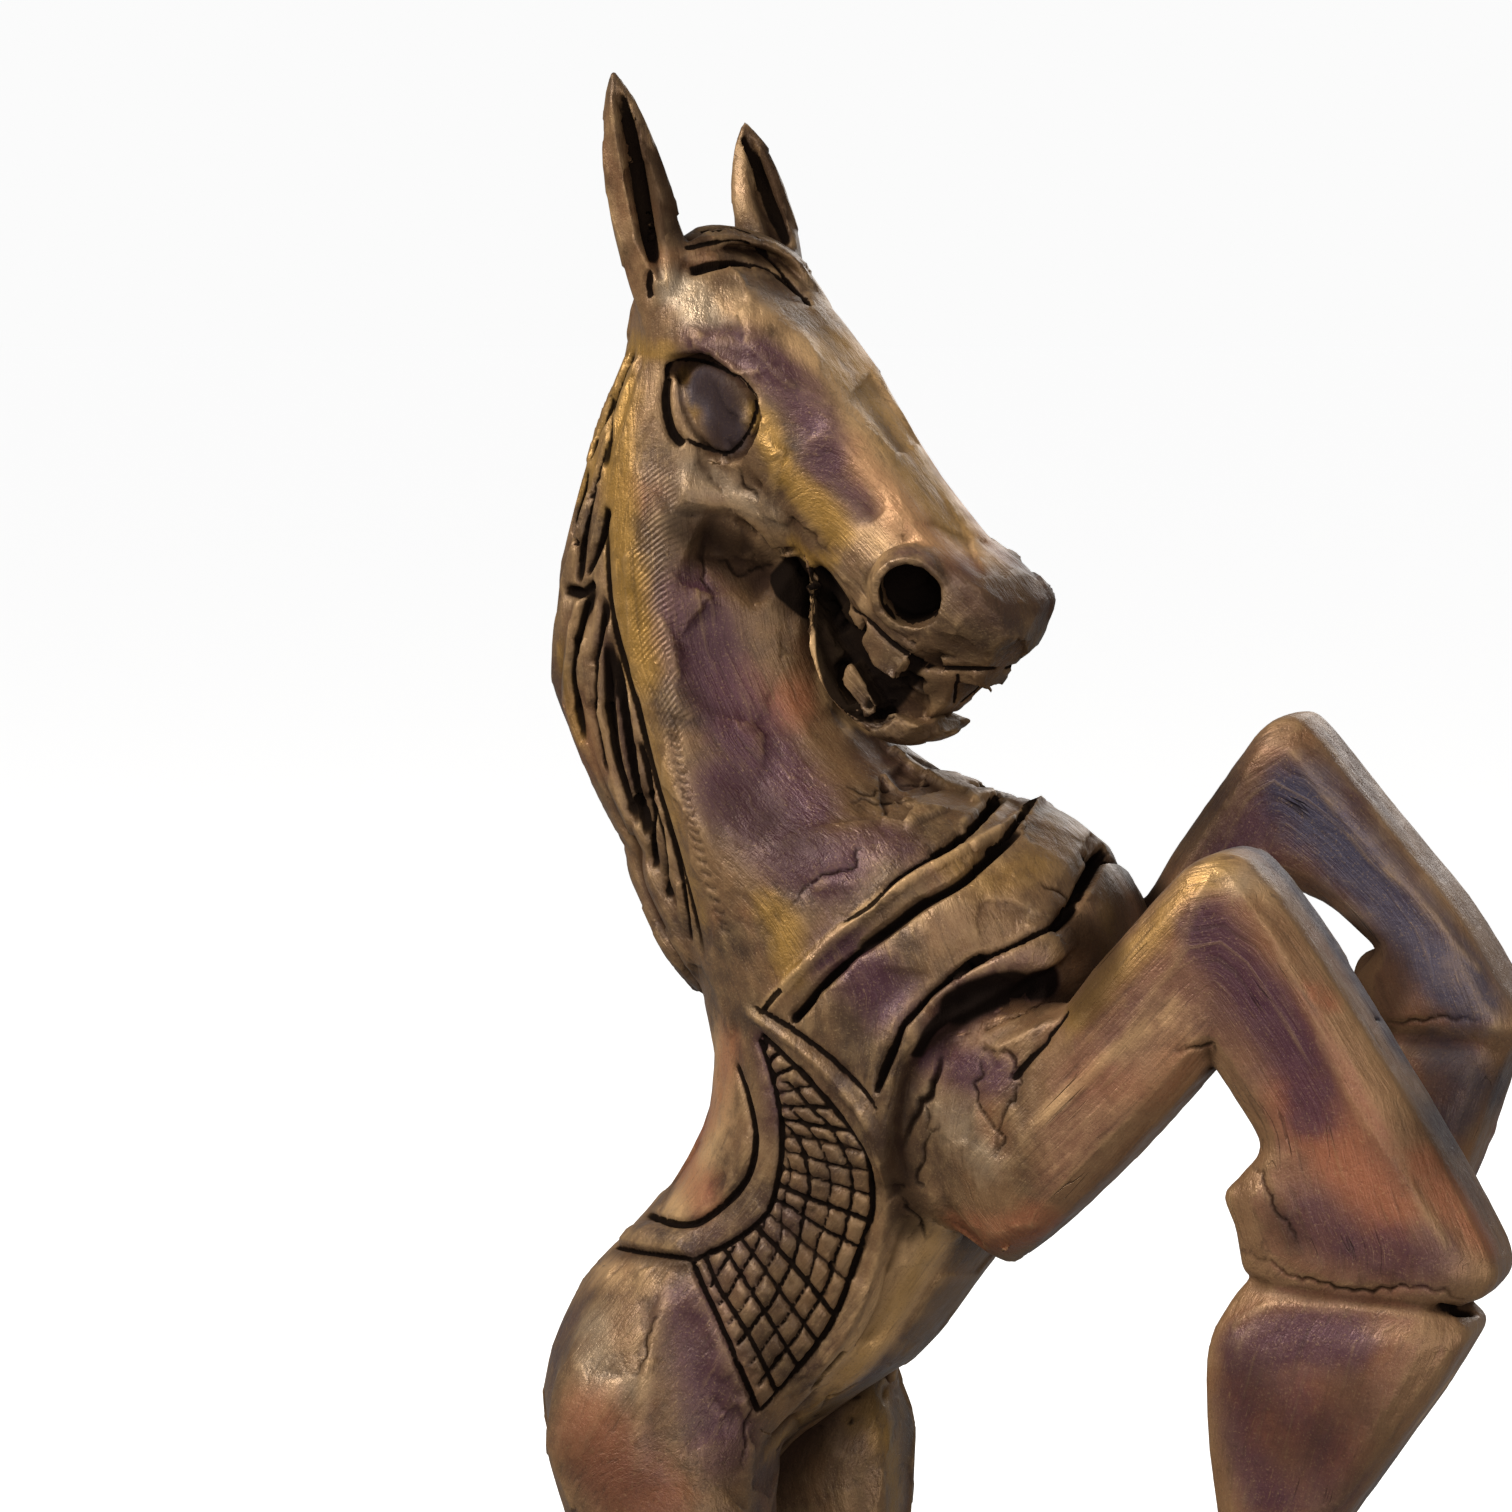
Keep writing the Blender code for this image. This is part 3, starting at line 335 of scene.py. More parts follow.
def rounded(ring, rounds, keep):
    """A closed ring with its corners cut, keep of each side left at the first cut."""
    ring = np.asarray(ring, float)
    for _ in range(rounds):
        after = np.roll(ring, -1, axis=0)
        cut = (1 - keep) / 2
        ring = np.stack([ring * (1 - cut) + after * cut, ring * cut + after * (1 - cut)], 1).reshape(-1, 3)
    return ring


class Forms:
    """Closed skins, gathered as points and faces."""

    def __init__(self):
        self.points, self.faces, self.count = [], [], 0

    def add(self, points, faces):
        self.points.append(np.asarray(points, float))
        self.faces.extend(tuple(k + self.count for k in face) for face in faces)
        self.count += len(points)

    def loft(self, rings):
        rings = [np.asarray(ring, float) for ring in rings]
        n, last = len(rings[0]), len(rings) - 1
        faces = [
            (r * n + i, r * n + (i + 1) % n, (r + 1) * n + (i + 1) % n, (r + 1) * n + i)
            for r in range(last) for i in range(n)
        ]
        tips = len(rings) * n
        faces += [((i + 1) % n, i, tips) for i in range(n)]
        faces += [(last * n + i, last * n + (i + 1) % n, tips + 1) for i in range(n)]
        self.add(np.concatenate(rings + [[rings[0].mean(0), rings[-1].mean(0)]]), faces)

    def mesh(self, name):
        made = bpy.data.meshes.new(name)
        made.from_pydata(np.concatenate(self.points).tolist(), [], self.faces)
        shape = bmesh.new()
        shape.from_mesh(made)
        bmesh.ops.recalc_face_normals(shape, faces=shape.faces)
        shape.to_mesh(made)
        shape.free()
        return made


def new_object(name, mesh):
    made = bpy.data.objects.new(name, mesh)
    bpy.context.scene.collection.objects.link(made)
    return made


def trunk(forms):
    rings = []
    for bx, bz, fx, fz, half, squareness, lean in finer(SPINE, 6):
        back, front = np.array(place(bx, 0, bz)), np.array(place(fx, 0, fz))
        centre, arm = (back + front) / 2, (front - back) / 2
        angle = np.linspace(0, 2 * np.pi, 96, endpoint=False)
        c, s = np.cos(angle), np.sin(angle)
        reach = (np.abs(c) ** squareness + np.abs(s) ** squareness) ** (-1 / squareness)
        c, s = c * reach, s * reach
        ring = centre + arm * (c - lean * s * s)[:, None]
        ring[:, 1] += half * UNIT * s
        rings.append(ring)
    forms.loft(rings)


def limb(forms, rows, side):
    rings = []
    for ox, oz, ix, iz, middle, half in finer(rows, 5):
        aside = Vector((0, side * middle * UNIT, 0))
        outer, inner = place(ox, 0, oz) + aside, place(ix, 0, iz) + aside
        centre, arm = (outer + inner) / 2, (outer - inner) / 2
        cut = 1 - EDGE_CHAMFER
        ring = []
        for end, across in ((1, 1), (1, -1), (-1, -1), (-1, 1)):
            flat = centre + arm * end + Vector((0, half * UNIT * across * cut, 0))
            edge = centre + arm * end * cut + Vector((0, half * UNIT * across, 0))
            ring.extend((edge, flat) if end * across > 0 else (flat, edge))
        rings.append(rounded(ring, 1, 0.82))
    forms.loft(rings)


def lock_ring(centre, out, across, sweep, locks, valley, twist=0.0):
    """A ring of rounded locks of hair, swept about the centre, that wander by twist of a lock's width."""
    per = 10
    count = locks * per + (1 if sweep < 2 * math.pi else 0)
    ring = []
    for k in range(count):
        share = k / per
        phase = (share + twist * math.sin(math.pi * share / locks)) % 1.0
        reach = 1 - valley * (1 - math.sin(math.pi * phase) ** 0.7)
        angle = sweep * (share / locks - 0.5)
        ring.append(centre + out * (math.cos(angle) * reach) + across * (math.sin(angle) * reach))
    return ring


def tail(forms):
    rings = []
    rows = finer(TAIL, 8)
    for k, (bx, bz, fx, fz, half) in enumerate(rows):
        back, front = place(bx, 0, bz), place(fx, 0, fz)
        turn = 0.9 * math.sin(2.2 * math.pi * k / len(rows))
        across = Vector((0, half * UNIT, 0))
        middle, out = (back + front) / 2, (back - front) / 2
        rings.append(lock_ring(middle, out, across, 2 * math.pi, TAIL_LOCKS, 0.26, turn))
    forms.loft(rings)


def mane(forms):
    for tier, rows in enumerate(MANE):
        rings = []
        rows = finer(rows, 8)
        for k, (cx, cz, rx, rz, half) in enumerate(rows):
            root = place(rx, 0, rz)
            turn = 0.8 * math.sin(math.pi * (1.6 * k / len(rows) + 0.5 * tier))
            across = Vector((0, half * UNIT, 0))
            rings.append(lock_ring(root, place(cx, 0, cz) - root, across, math.pi, MANE_LOCKS, 0.14, turn))
        forms.loft(rings)


def head_axes():
    turn = Matrix.Rotation(HEAD_TURN, 4, "Z")
    face = turn @ Vector((math.cos(HEAD_PITCH), 0, -math.sin(HEAD_PITCH)))
    brow = turn @ Vector((math.sin(HEAD_PITCH), 0, math.cos(HEAD_PITCH)))
    right = turn @ Vector((0, -1, 0))
    return face, brow, right


def on_head(u, v, w):
    """A point in the head's frame, in hundredths of the horse's height."""
    face, brow, right = head_axes()
    return place(*HEAD_POLL) + (face * u + brow * v + right * w) * UNIT


def skull(forms):
    rings = []
    for u, top, bottom, flat, widest, level, below in finer(SKULL, 5):
        half = [
            (0, top),
            (flat, top - 0.08),
            ((flat + 2 * widest) / 3, (top + level) / 2),
            (widest, level),
            ((widest + below) / 2 + 0.1, (level + bottom) / 2),
            (below, bottom + 0.3),
            (0, bottom),
        ]
        outline = half + [(-w, v) for w, v in reversed(half[1:-1])]
        outline = along(outline + outline[:1], np.linspace(0, 1, 73)[:-1])
        rings.append([on_head(u, v, w) for w, v in outline])
    forms.loft(rings)


def head_bar(forms, rows):
    rings = []
    for tu, tv, bu, bv, half in finer(rows, 5):
        outline = [(0.0, 0.86), (0.4, 1.0), (0.85, 0.75), (1.0, 0.4)]
        ring = [(tu + (bu - tu) * s, tv + (bv - tv) * s, half * w) for s, w in outline]
        rings.append([on_head(*p) for p in ring] + [on_head(u, v, -w) for u, v, w in reversed(ring)])
    forms.loft(rings)


def teeth(forms):
    for outline, near, far in SIDE_TEETH:
        for side in BOTH:
            forms.loft([[on_head(u, v, side * w) for u, v in outline] for w in (near, far)])
    forms.loft([
        [on_head(bu, bv, bw), on_head(fu, fv, fw), on_head(fu, fv, -fw), on_head(bu, bv, -bw)]
        for (bu, bv, bw), (fu, fv, fw) in FRONT_TEETH
    ])


def ball(forms, centre, axes):
    rings = []
    for polar in np.linspace(0.04, math.pi - 0.04, 15):
        rings.append([
            centre + axes[0] * (math.sin(polar) * math.cos(a)) + axes[1] * (math.sin(polar) * math.sin(a))
            + axes[2] * math.cos(polar)
            for a in np.linspace(0, 2 * math.pi, 28, endpoint=False)
        ])
    forms.loft(rings)


def eye_balls(forms):
    axes = [axis * (radius * UNIT) for axis, radius in zip(head_axes(), EYE_RADII)]
    u, v, w = EYE_BALL
    for side in BOTH:
        ball(forms, on_head(u, v, -side * w), axes)


def ergot(forms):
    x, z, radius = ERGOT
    centre = place(x, LEFT * LEFT_FORELEG[-1][4], z)
    ball(forms, centre, [Vector(axis) * (radius * UNIT) for axis in ((1, 0, 0), (0, 0, 1), (0, 1, 0))])


def nostrils(forms, radius, low, high):
    face, brow, right = head_axes()
    for side in BOTH:
        u, v, w = NOSTRIL
        a, b, c = NOSTRIL_OUT
        centre = on_head(u, v, -side * w)
        out = (face * a + brow * b + right * (-side * c)).normalized()
        flat = out.cross(brow).normalized()
        tall = flat.cross(out)
        rings = []
        for reach, share in ((low, 1.12), (high, 1.0)):
            middle = centre + out * (reach * UNIT)
            rings.append([
                middle + (flat * math.cos(t) + tall * math.sin(t)) * (radius * share * UNIT)
                for t in np.linspace(0, 2 * math.pi, 40, endpoint=False)
            ])
        forms.loft(rings)


def eye_hollows(forms):
    for side in BOTH:
        outline = along(EYE_HOLLOW + EYE_HOLLOW[:1], np.linspace(0, 1, 31)[:-1])
        forms.loft([
            [on_head(u, v, -side * w) for u, v in outline] for w in (EYE_HOLLOW_FLOOR, EYE_HOLLOW_TOP)
        ])


def forelock(forms):
    rings = []
    rows = finer(FORELOCK, 6)
    for k, (u, v, w, half) in enumerate(rows):
        after, before = rows[min(k + 1, len(rows) - 1)], rows[max(k - 1, 0)]
        run = on_head(*after[:3]) - on_head(*before[:3])
        middle = on_head(u, v, w)
        out = middle - on_head(3.0, -3.0, 0.0)
        out = (out - run * (out.dot(run) / run.length_squared)).normalized()
        across = run.cross(out).normalized()
        rings.append(lock_ring(middle, out * (FORELOCK_RISE * UNIT), across * (half * UNIT), math.pi, 2, 0.5))
    forms.loft(rings)


def ear_axes(tip, facing):
    axis = Vector(tip) * UNIT
    ahead = Vector((math.cos(facing), math.sin(facing), 0))
    across = axis.cross(ahead).normalized()
    return axis, across, across.cross(axis).normalized()


def ear(forms, root, tip, facing):
    start = on_head(*root)
    axis, across, ahead = ear_axes(tip, facing)
    rings = []
    for share, half, thick in finer(EAR_SECTIONS, 5):
        centre = start + axis * share
        ring = [centre + (across * (a * half) + ahead * (b * thick)) * UNIT for a, b in EAR_CORNERS]
        rings.append(rounded(ring, 2, 0.6))
    forms.loft(rings)


def ear_hollow(forms, root, tip, facing):
    start = on_head(*root)
    axis, across, ahead = ear_axes(tip, facing)
    depth, half = EAR_CUT
    root_share = EAR_SECTIONS[0][0]
    rings = []
    for share, reach in finer(EAR_HOLLOW_SECTIONS, 4):
        thick = along(EAR_SECTIONS, (share - root_share) / (1 - root_share))[0][2]
        front = start + axis * share + ahead * (thick * UNIT)
        lift = ahead * (depth * 0.6 * UNIT)
        arm = across * (half * reach * 1.6 * UNIT)
        rings.append([front + lift + arm, front - ahead * (depth * reach * UNIT), front + lift - arm])
    forms.loft(rings)


# Joining the forms

def apply_modifiers(thing):
    graph = bpy.context.evaluated_depsgraph_get()
    made = bpy.data.meshes.new_from_object(thing.evaluated_get(graph))
    thing.modifiers.clear()
    old = thing.data
    thing.data = made
    bpy.data.meshes.remove(old)


def cut_from(thing, cutters):
    cutter = new_object("cutter", cutters.mesh("cutter"))
    step = thing.modifiers.new("cut", "BOOLEAN")
    step.operation = "DIFFERENCE"
    step.solver = "MANIFOLD"
    step.object = cutter
    apply_modifiers(thing)
    bpy.data.objects.remove(cutter)


def remesh(thing, size):
    step = thing.modifiers.new("join", "REMESH")
    step.mode = "VOXEL"
    step.voxel_size = size
    apply_modifiers(thing)


def read_all(collection, name, width, kind=np.float32):
    out = np.empty(len(collection) * width, kind)
    collection.foreach_get(name, out)
    return out.reshape(-1, width)


def points_of(mesh):
    return read_all(mesh.vertices, "co", 3).astype(float)


def normals_of(mesh):
    return read_all(mesh.vertex_normals, "vector", 3).astype(float)


def edges_of(mesh):
    return read_all(mesh.edges, "vertices", 2, np.int32)


def set_points(mesh, points):
    mesh.vertices.foreach_set("co", points.astype(np.float32).ravel())
    mesh.update()


def neighbour_mean(values, edges, count):
    """Mean of each point's neighbours' values; values has one row a point."""
    degree = np.bincount(edges.ravel(), minlength=count)
    total = np.empty_like(values)
    for k in range(values.shape[1]):
        column = values[:, k]
        total[:, k] = np.bincount(edges[:, 0], column[edges[:, 1]], count) + np.bincount(
            edges[:, 1], column[edges[:, 0]], count
        )
    return total / np.maximum(degree, 1)[:, None]


def smooth(points, edges, rounds, strength):
    """Laplacian smoothing; strength is one number, or one for each point."""
    strength = np.asarray(strength, float)
    if strength.ndim:
        strength = strength[:, None]
    for _ in range(rounds):
        points = points + (neighbour_mean(points, edges, len(points)) - points) * strength
    return points


def build_forms():
    skull_form = Forms()
    skull(skull_form)
    head = new_object("head_form", skull_form.mesh("head_form"))
    rims, holes = Forms(), Forms()
    nostrils(rims, NOSTRIL_RIM, -0.9, NOSTRIL_RISE)
    rim = new_object("rim_form", rims.mesh("rim_form"))
    nostrils(holes, NOSTRIL_HOLE, -NOSTRIL_DEPTH, 1.2)
    cut_from(rim, holes)
    eye_hollows(holes)
    cut_from(head, holes)

    ears = []
    for name, which in (("right", RIGHT_EAR), ("left", LEFT_EAR)):
        form, hollow = Forms(), Forms()
        ear(form, *which)
        ear_hollow(hollow, *which)
        made = new_object(name + "_ear_form", form.mesh(name + "_ear_form"))
        cut_from(made, hollow)
        ears.append(made)

    forms = Forms()
    trunk(forms)
    limb(forms, RIGHT_FORELEG, RIGHT)
    limb(forms, LEFT_FORELEG, LEFT)
    limb(forms, RIGHT_HIND_LEG, RIGHT)
    limb(forms, LEFT_HIND_LEG, LEFT)
    tail(forms)
    mane(forms)
    ergot(forms)
    head_bar(forms, JAW)
    head_bar(forms, MOUTH_CORE)
    teeth(forms)
    eye_balls(forms)
    forelock(forms)
    made = new_object("carved_horse", forms.mesh("carved_horse"))

    bpy.ops.object.select_all(action="DESELECT")
    for thing in (head, rim, *ears, made):
        thing.select_set(True)
    bpy.context.view_layer.objects.active = made
    bpy.ops.object.join()
    remesh(made, VOXEL)
    return made


# Carving tools

def gradient_noise(p, seed):
    """Smooth noise between about -1 and 1 at each row of p; one cell is one unit.

    The large odd factors scramble a cell's place into a number of its own.
    """
    cell = np.floor(p).astype(np.int64)
    f = p - cell
    ease = f * f * f * (f * (f * 6 - 15) + 10)
    total = np.zeros(len(p))
    for corner in range(8):
        step = np.array([corner & 1, corner >> 1 & 1, corner >> 2 & 1])
        c = cell + step
        h = c[:, 0] * 374761393 + c[:, 1] * 668265263 + c[:, 2] * 2147483647 + seed * 1274126177
        h &= 0xFFFFFFFF
        h = ((h ^ (h >> 13)) * 1274126177) & 0xFFFFFFFF
        h = h ^ (h >> 16)
        g = np.stack([(h >> bits & 255) - 127.5 for bits in (0, 8, 16)], 1) / 127.5
        weight = np.prod(np.where(step, ease, 1 - ease), axis=1)
        total += weight * ((f - step) * g).sum(1)
    return total * 1.4


def smoothstep(low, high, x):
    t = np.clip((x - low) / (high - low), 0, 1)
    return t * t * (3 - 2 * t)


def run_in(share, ends):
    """0 at both ends of a mark, and 1 from that share of its length on."""
    return np.clip(np.minimum(share, 1 - share) / ends, 0, 1)


class Line:
    """Points on the skin with the skin's normals, from one end of a mark to the other."""

    def __init__(self, points, normals):
        self.points, self.normals = np.asarray(points, float), np.asarray(normals, float)


class Carving:
    """The joined horse, its heights to come, and the masks that its patina reads."""

    MASKS = (
        "hollow", "crack", "gold_and_highlight", "plum", "blue", "copper", "grey_highlight", "umber_and_shade", "tan",
        "rasp", "recess_wax_and_shade", "edge", "flank", "bevel_tone_and_light",
    )

    def __init__(self, thing):
        self.thing = thing
        mesh = thing.data
        self.edges = edges_of(mesh)
        self.faces = [tuple(face.vertices) for face in mesh.polygons]
        self.points = smooth(points_of(mesh), self.edges, 3, 0.5)
        self.refresh()
        self.raised = np.zeros(len(self.points))
        self.depth = np.zeros(len(self.points))
        self.masks = {name: np.zeros(len(self.points)) for name in self.MASKS}

    def refresh(self):
        """Hand the points to the mesh, and read its normals and its tree for sight lines."""
        set_points(self.thing.data, self.points)
        self.normals = normals_of(self.thing.data)
        self.grown = None

    @property
    def tree(self):
        if self.grown is None:
            self.grown = BVHTree.FromPolygons(self.points.tolist(), self.faces)
        return self.grown

    def settle(self):
        """Turn the heights into form."""
        self.points = self.points + self.normals * (self.raised - self.depth)[:, None]
        self.raised[:] = 0
        self.depth[:] = 0
        self.refresh()

    def seen(self, pixels, spacing=3.0):
        """Lines on the skin under a smooth path of the photograph's pixels; a jump in depth parts them."""
        pixels = np.asarray(pixels, float)
        length = np.linalg.norm(np.diff(pixels, axis=0), axis=1).sum()
        path = along(pixels, np.linspace(0, 1, max(3, int(length / spacing))))
        jump = 5 * spacing * CAMERA_DISTANCE / FOCAL_PX
        lines, run = [], []
        for px, py in path:
            hit, normal, *_ = self.tree.ray_cast(Vector(CAMERA_EYE), Vector(sight(px, py)))
            if hit is not None and run and (hit - run[-1][0]).length > jump:
                lines.append(run)
                run = []
            if hit is not None:
                run.append((hit, normal))
        lines.append(run)
        return [Line(*zip(*run)) for run in lines if len(run) > 1]

    def near(self, line, reach):
        """The points within reach of a line: index, distance, signed offset to its left, share along it."""
        low, high = line.points.min(0) - reach, line.points.max(0) + reach
        index = np.flatnonzero(((self.points > low) & (self.points < high)).all(1))
        p = self.points[index]
        best = np.full(len(index), np.inf)
        side, share = np.zeros(len(index)), np.zeros(len(index))
        facing = np.zeros(len(index))
        count = len(line.points) - 1
        for k in range(count):
            a, run = line.points[k], line.points[k + 1] - line.points[k]
            normal = line.normals[k] + line.normals[k + 1]
            t = np.clip((p - a) @ run / max(run @ run, 1e-12), 0, 1)
            away = p - a - t[:, None] * run
            distance = np.linalg.norm(away, axis=1)
            closer = distance < best
            best[closer] = distance[closer]
            side[closer] = (away @ np.cross(normal, run))[closer]
            share[closer] = ((k + t) / count)[closer]
            facing[closer] = (self.normals[index] @ normal)[closer]
        keep = (best < reach) & (facing > 0)
        return index[keep], best[keep], np.sign(side[keep]) * best[keep], share[keep]

    def spot(self, px, py):
        """The place on the skin under one pixel of the photograph."""
        hit, *_ = self.tree.ray_cast(Vector(CAMERA_EYE), Vector(sight(px, py)))
        return hit

    def groove(self, lines, half_width, depth, ends=0.12, lean=0.0, mask="hollow", strength=1.0):
        """A V cut; lean from -1 to 1 makes its left or right wall the steep one."""
        for line in lines:
            index, distance, side, share = self.near(line, half_width * (1 + abs(lean)))
            width = half_width * (1 + lean * np.sign(side))
            taper = run_in(share, ends) ** 0.7
            fall = np.clip(1 - distance / width, 0, 1) ** 0.85
            self.depth[index] = np.maximum(self.depth[index], depth * taper * fall)
            # Marks the cut to be darkened; the default mask is painted shade in cuts
            self.mark(mask, index, strength * np.sqrt(taper) * smoothstep(0.06, 0.7, fall))

    def press(self, lines, radius, height, ends=0.2):
        """A soft ridge, or with a negative height a soft hollow."""
        for line in lines:
            index, distance, _, share = self.near(line, radius * 2)
            taper = smoothstep(0, 1, run_in(share, ends))
            self.raised[index] += height * taper * np.exp(-2 * (distance / radius) ** 2)

    def terrace(self, lines, edge, reach, height, ends=0.1):
        """Raise the left side of a line (or sink it, with a negative height), fading out at reach."""
        for line in lines:
            index, distance, side, share = self.near(line, reach)
            fade = 1 - smoothstep(0.35, 1, distance / reach)
            self.raised[index] += height * run_in(share, ends) * fade * smoothstep(-edge, edge, side)

    def mark(self, name, index, amount):
        self.masks[name][index] = np.maximum(self.masks[name][index], amount)

    def paint(self, name, lines, radius, strength):
        for line in lines:
            index, distance, *_ = self.near(line, radius * 1.8)
            self.mark(name, index, strength * (1 - smoothstep(0.1, 1.6, distance / radius)))

    def mirrored(self, lines, turned=False):
        """The same lines on the other side of the median plane, or of the head's own."""
        centre, across = Vector((0, 0, 0)), Vector((0, 1, 0))
        if turned:
            centre, across = place(*HEAD_POLL), head_axes()[2]
        out = []
        for line in lines:
            run = []
            for point in line.points[::-1]:
                point = Vector(point)
                point -= across * (2 * (point - centre).dot(across))
                hit, normal, *_ = self.tree.find_nearest(point, 12 * MM)
                if hit is not None:
                    run.append((hit, normal))
            if len(run) > 2:
                out.append(Line(*zip(*run)))
        return out

    def both(self, pixels, turned=False, further=0.0, step=1.2 * MM):
        """A path seen in the photograph, and its twin on the hidden side.

        It can go further over the skin, past the path's end.
        """
        lines = self.seen(pixels)
        if lines and further:
            points, normals = list(lines[-1].points), list(lines[-1].normals)
            run = points[-1] - points[-4]
            for _ in range(int(further / step)):
                run = run - normals[-1] * (run @ normals[-1])
                run /= np.linalg.norm(run)
                hit, normal, *_ = self.tree.find_nearest(Vector(points[-1] + run * step))
                points.append(np.array(hit))
                normals.append(np.array(normal))
            lines[-1] = Line(points, normals)
        return lines + self.mirrored(lines, turned)

    def from_side(self, path, side, steps=24):
        """A path given as x, z and laid on the skin from one side."""
        run = []
        for x, z in along(path, np.linspace(0, 1, steps + 1)):
            start = place(x, 0, z) + Vector((0, side * HORSE_HEIGHT, 0))
            hit, normal, *_ = self.tree.ray_cast(start, Vector((0, -side, 0)))
            if hit is not None:
                run.append((hit, normal))
        return [Line(*zip(*run))] if len(run) > 1 else []

    def melt(self, centre, radius, cell, rounds, strength=0.9):
        """Blend forms over a wide reach: each point moves to the middle of the skin around it."""
        centre = np.asarray(centre, float)
        index = np.flatnonzero(np.linalg.norm(self.points - centre, axis=1) < radius * 1.3)
        for _ in range(rounds):
            p, normal = self.points[index], self.normals[index]
            weight = strength * (1 - smoothstep(0.45, 1, np.linalg.norm(p - centre, axis=1) / radius))
            middle = centroids(p, cell)
            self.points[index] = p + normal * (((middle - p) * normal).sum(1) * weight)[:, None]
            self.refresh()

    def facet(self, size, most, share, seed, where=1.0):
        """Knife cuts: the skin falls into patches, and each is drawn towards its own plane."""
        p = self.points + self.normals * (0.4 * size)
        cell = np.floor(p / size).astype(np.int64)
        best, owner = np.full(len(p), np.inf), np.zeros(len(p), np.int64)
        for k in range(27):
            c = cell + np.array([k % 3 - 1, k // 3 % 3 - 1, k // 9 - 1])
            key = (c[:, 0] * 73856093 ^ c[:, 1] * 19349663 ^ c[:, 2] * 83492791) + seed
            h = (key * 2654435761) & 0xFFFFFFFF
            jitter = np.stack([h & 1023, h >> 10 & 1023, h >> 20 & 1023], 1) / 1023
            distance = ((p / size - c - jitter) ** 2).sum(1)
            closer = distance < best
            best[closer] = distance[closer]
            owner[closer] = h[closer]
        _, owner = np.unique(owner, return_inverse=True)
        count = np.maximum(np.bincount(owner), 1)[:, None]
        middle = np.stack([np.bincount(owner, column) for column in self.points.T], 1) / count
        facing = np.stack([np.bincount(owner, column) for column in self.normals.T], 1)
        facing /= np.maximum(np.linalg.norm(facing, axis=1), 1e-9)[:, None]
        rise = ((middle[owner] - self.points) * facing[owner]).sum(1)
        along_with = np.clip((self.normals * facing[owner]).sum(1), 0, 1)
        self.raised += np.clip(rise * share, -most, most) * along_with * where

    def crack(self, pixels, seed, half_width=0.55, depth=0.9, jitter=2.6, turned=False):
        """A ragged, narrow break along a path of the photograph's pixels, and on the hidden side."""
        draw = np.random.default_rng(seed)
        pixels = np.asarray(pixels, float)
        length = np.linalg.norm(np.diff(pixels, axis=0), axis=1).sum()
        path = along(pixels, np.linspace(0, 1, max(4, int(length / 7))))
        path[1:-1] += draw.normal(0, jitter, path[1:-1].shape)
        lines = self.both(path, turned)
        self.groove(lines, half_width * MM, depth * MM, ends=0.35, mask="crack", strength=0.8)


def corners_of(p, low, cell, shape):
    """For each point, its grid cell's eight corners and how much it belongs to each."""
    spot = (p - low) / cell
    base = spot.astype(int)
    f = spot - base
    for corner in range(8):
        step = np.array([corner & 1, corner >> 1 & 1, corner >> 2 & 1])
        flat = np.ravel_multi_index((base + step).T, shape)
        yield flat, np.prod(np.where(step, f, 1 - f), axis=1)


def centroids(p, cell):
    """The mean place of the points around each point, within about two cells."""
    low = p.min(0) - 3 * cell
    shape = tuple(((p.max(0) - low) / cell).astype(int) + 5)
    size = int(np.prod(shape))
    fields = np.zeros((4, size))
    values = np.concatenate([np.ones((len(p), 1)), p], axis=1)
    for flat, share in corners_of(p, low, cell, shape):
        for k in range(4):
            fields[k] += np.bincount(flat, share * values[:, k], size)
    fields = fields.reshape(4, *shape)
    for axis in (1, 2, 3):
        near = np.roll(fields, 1, axis) + np.roll(fields, -1, axis)
        far = np.roll(fields, 2, axis) + np.roll(fields, -2, axis)
        fields = (6 * fields + 4 * near + far) / 16
    fields = fields.reshape(4, size)
    out = np.zeros((len(p), 4))
    for flat, share in corners_of(p, low, cell, shape):
        out += fields[:, flat].T * share[:, None]
    return out[:, 1:] / out[:, :1]


def on_axes(points):
    """How far along the face, above it and beside it each point of the head lies."""
    away = (points - np.array(place(*HEAD_POLL))) / UNIT
    return [away @ np.array(axis) for axis in head_axes()]


# Carving steps: paths are pixels of the photograph, and the tables' sizes are millimetres
BODY_FACET, MUZZLE_FACET = 20 * MM, 13 * MM
# How far a strap's cut goes on past the last point that shows; a shorter one is hidden behind the chest
RUN_ON, SHORT_RUN_ON = 16 * MM, 7 * MM
MANE_WIDER, MANE_DEEPER = 1.45, 1.5
# The saddle's rulings; the far flap has fewer, and its pitch is in hundredths of the horse's height
NEAR_RULINGS, NEAR_PITCH_PX = 16, 22.5
FAR_RULINGS, FAR_PITCH = 6, 2.2
# A crack that starts above this row of pixels lies on the head
HEAD_LOWEST_PX = 600


def blend_forms(work):
    """Shoulders and hips grow out of the trunk, the cheeks out of the throat."""
    for side in BOTH:
        work.melt(place(10.2, side * 8.6, 56.6), 6.6 * UNIT, 4 * MM, 9)
        work.melt(place(9.2, side * 8.2, 50.6), 4.2 * UNIT, 3 * MM, 5)
        work.melt(place(-2.5, side * 7.6, 43.5), 8.0 * UNIT, 4 * MM, 6)
    work.melt(work.spot(735, 585), 4.6 * UNIT, 3 * MM, 4)
    work.melt(work.spot(1002, 1238), 3.2 * UNIT, 2.5 * MM, 3)


def limb_share(points):
    """How far each point belongs to a limb, from 0 to 1."""
    ahead = smoothstep(13.5 * UNIT, 15.5 * UNIT, points[:, 0]) * (points[:, 2] < BASE_HEIGHT + 74 * UNIT)
    return np.maximum(ahead, 1 - smoothstep(27 * UNIT, 31 * UNIT, points[:, 2] - BASE_HEIGHT))


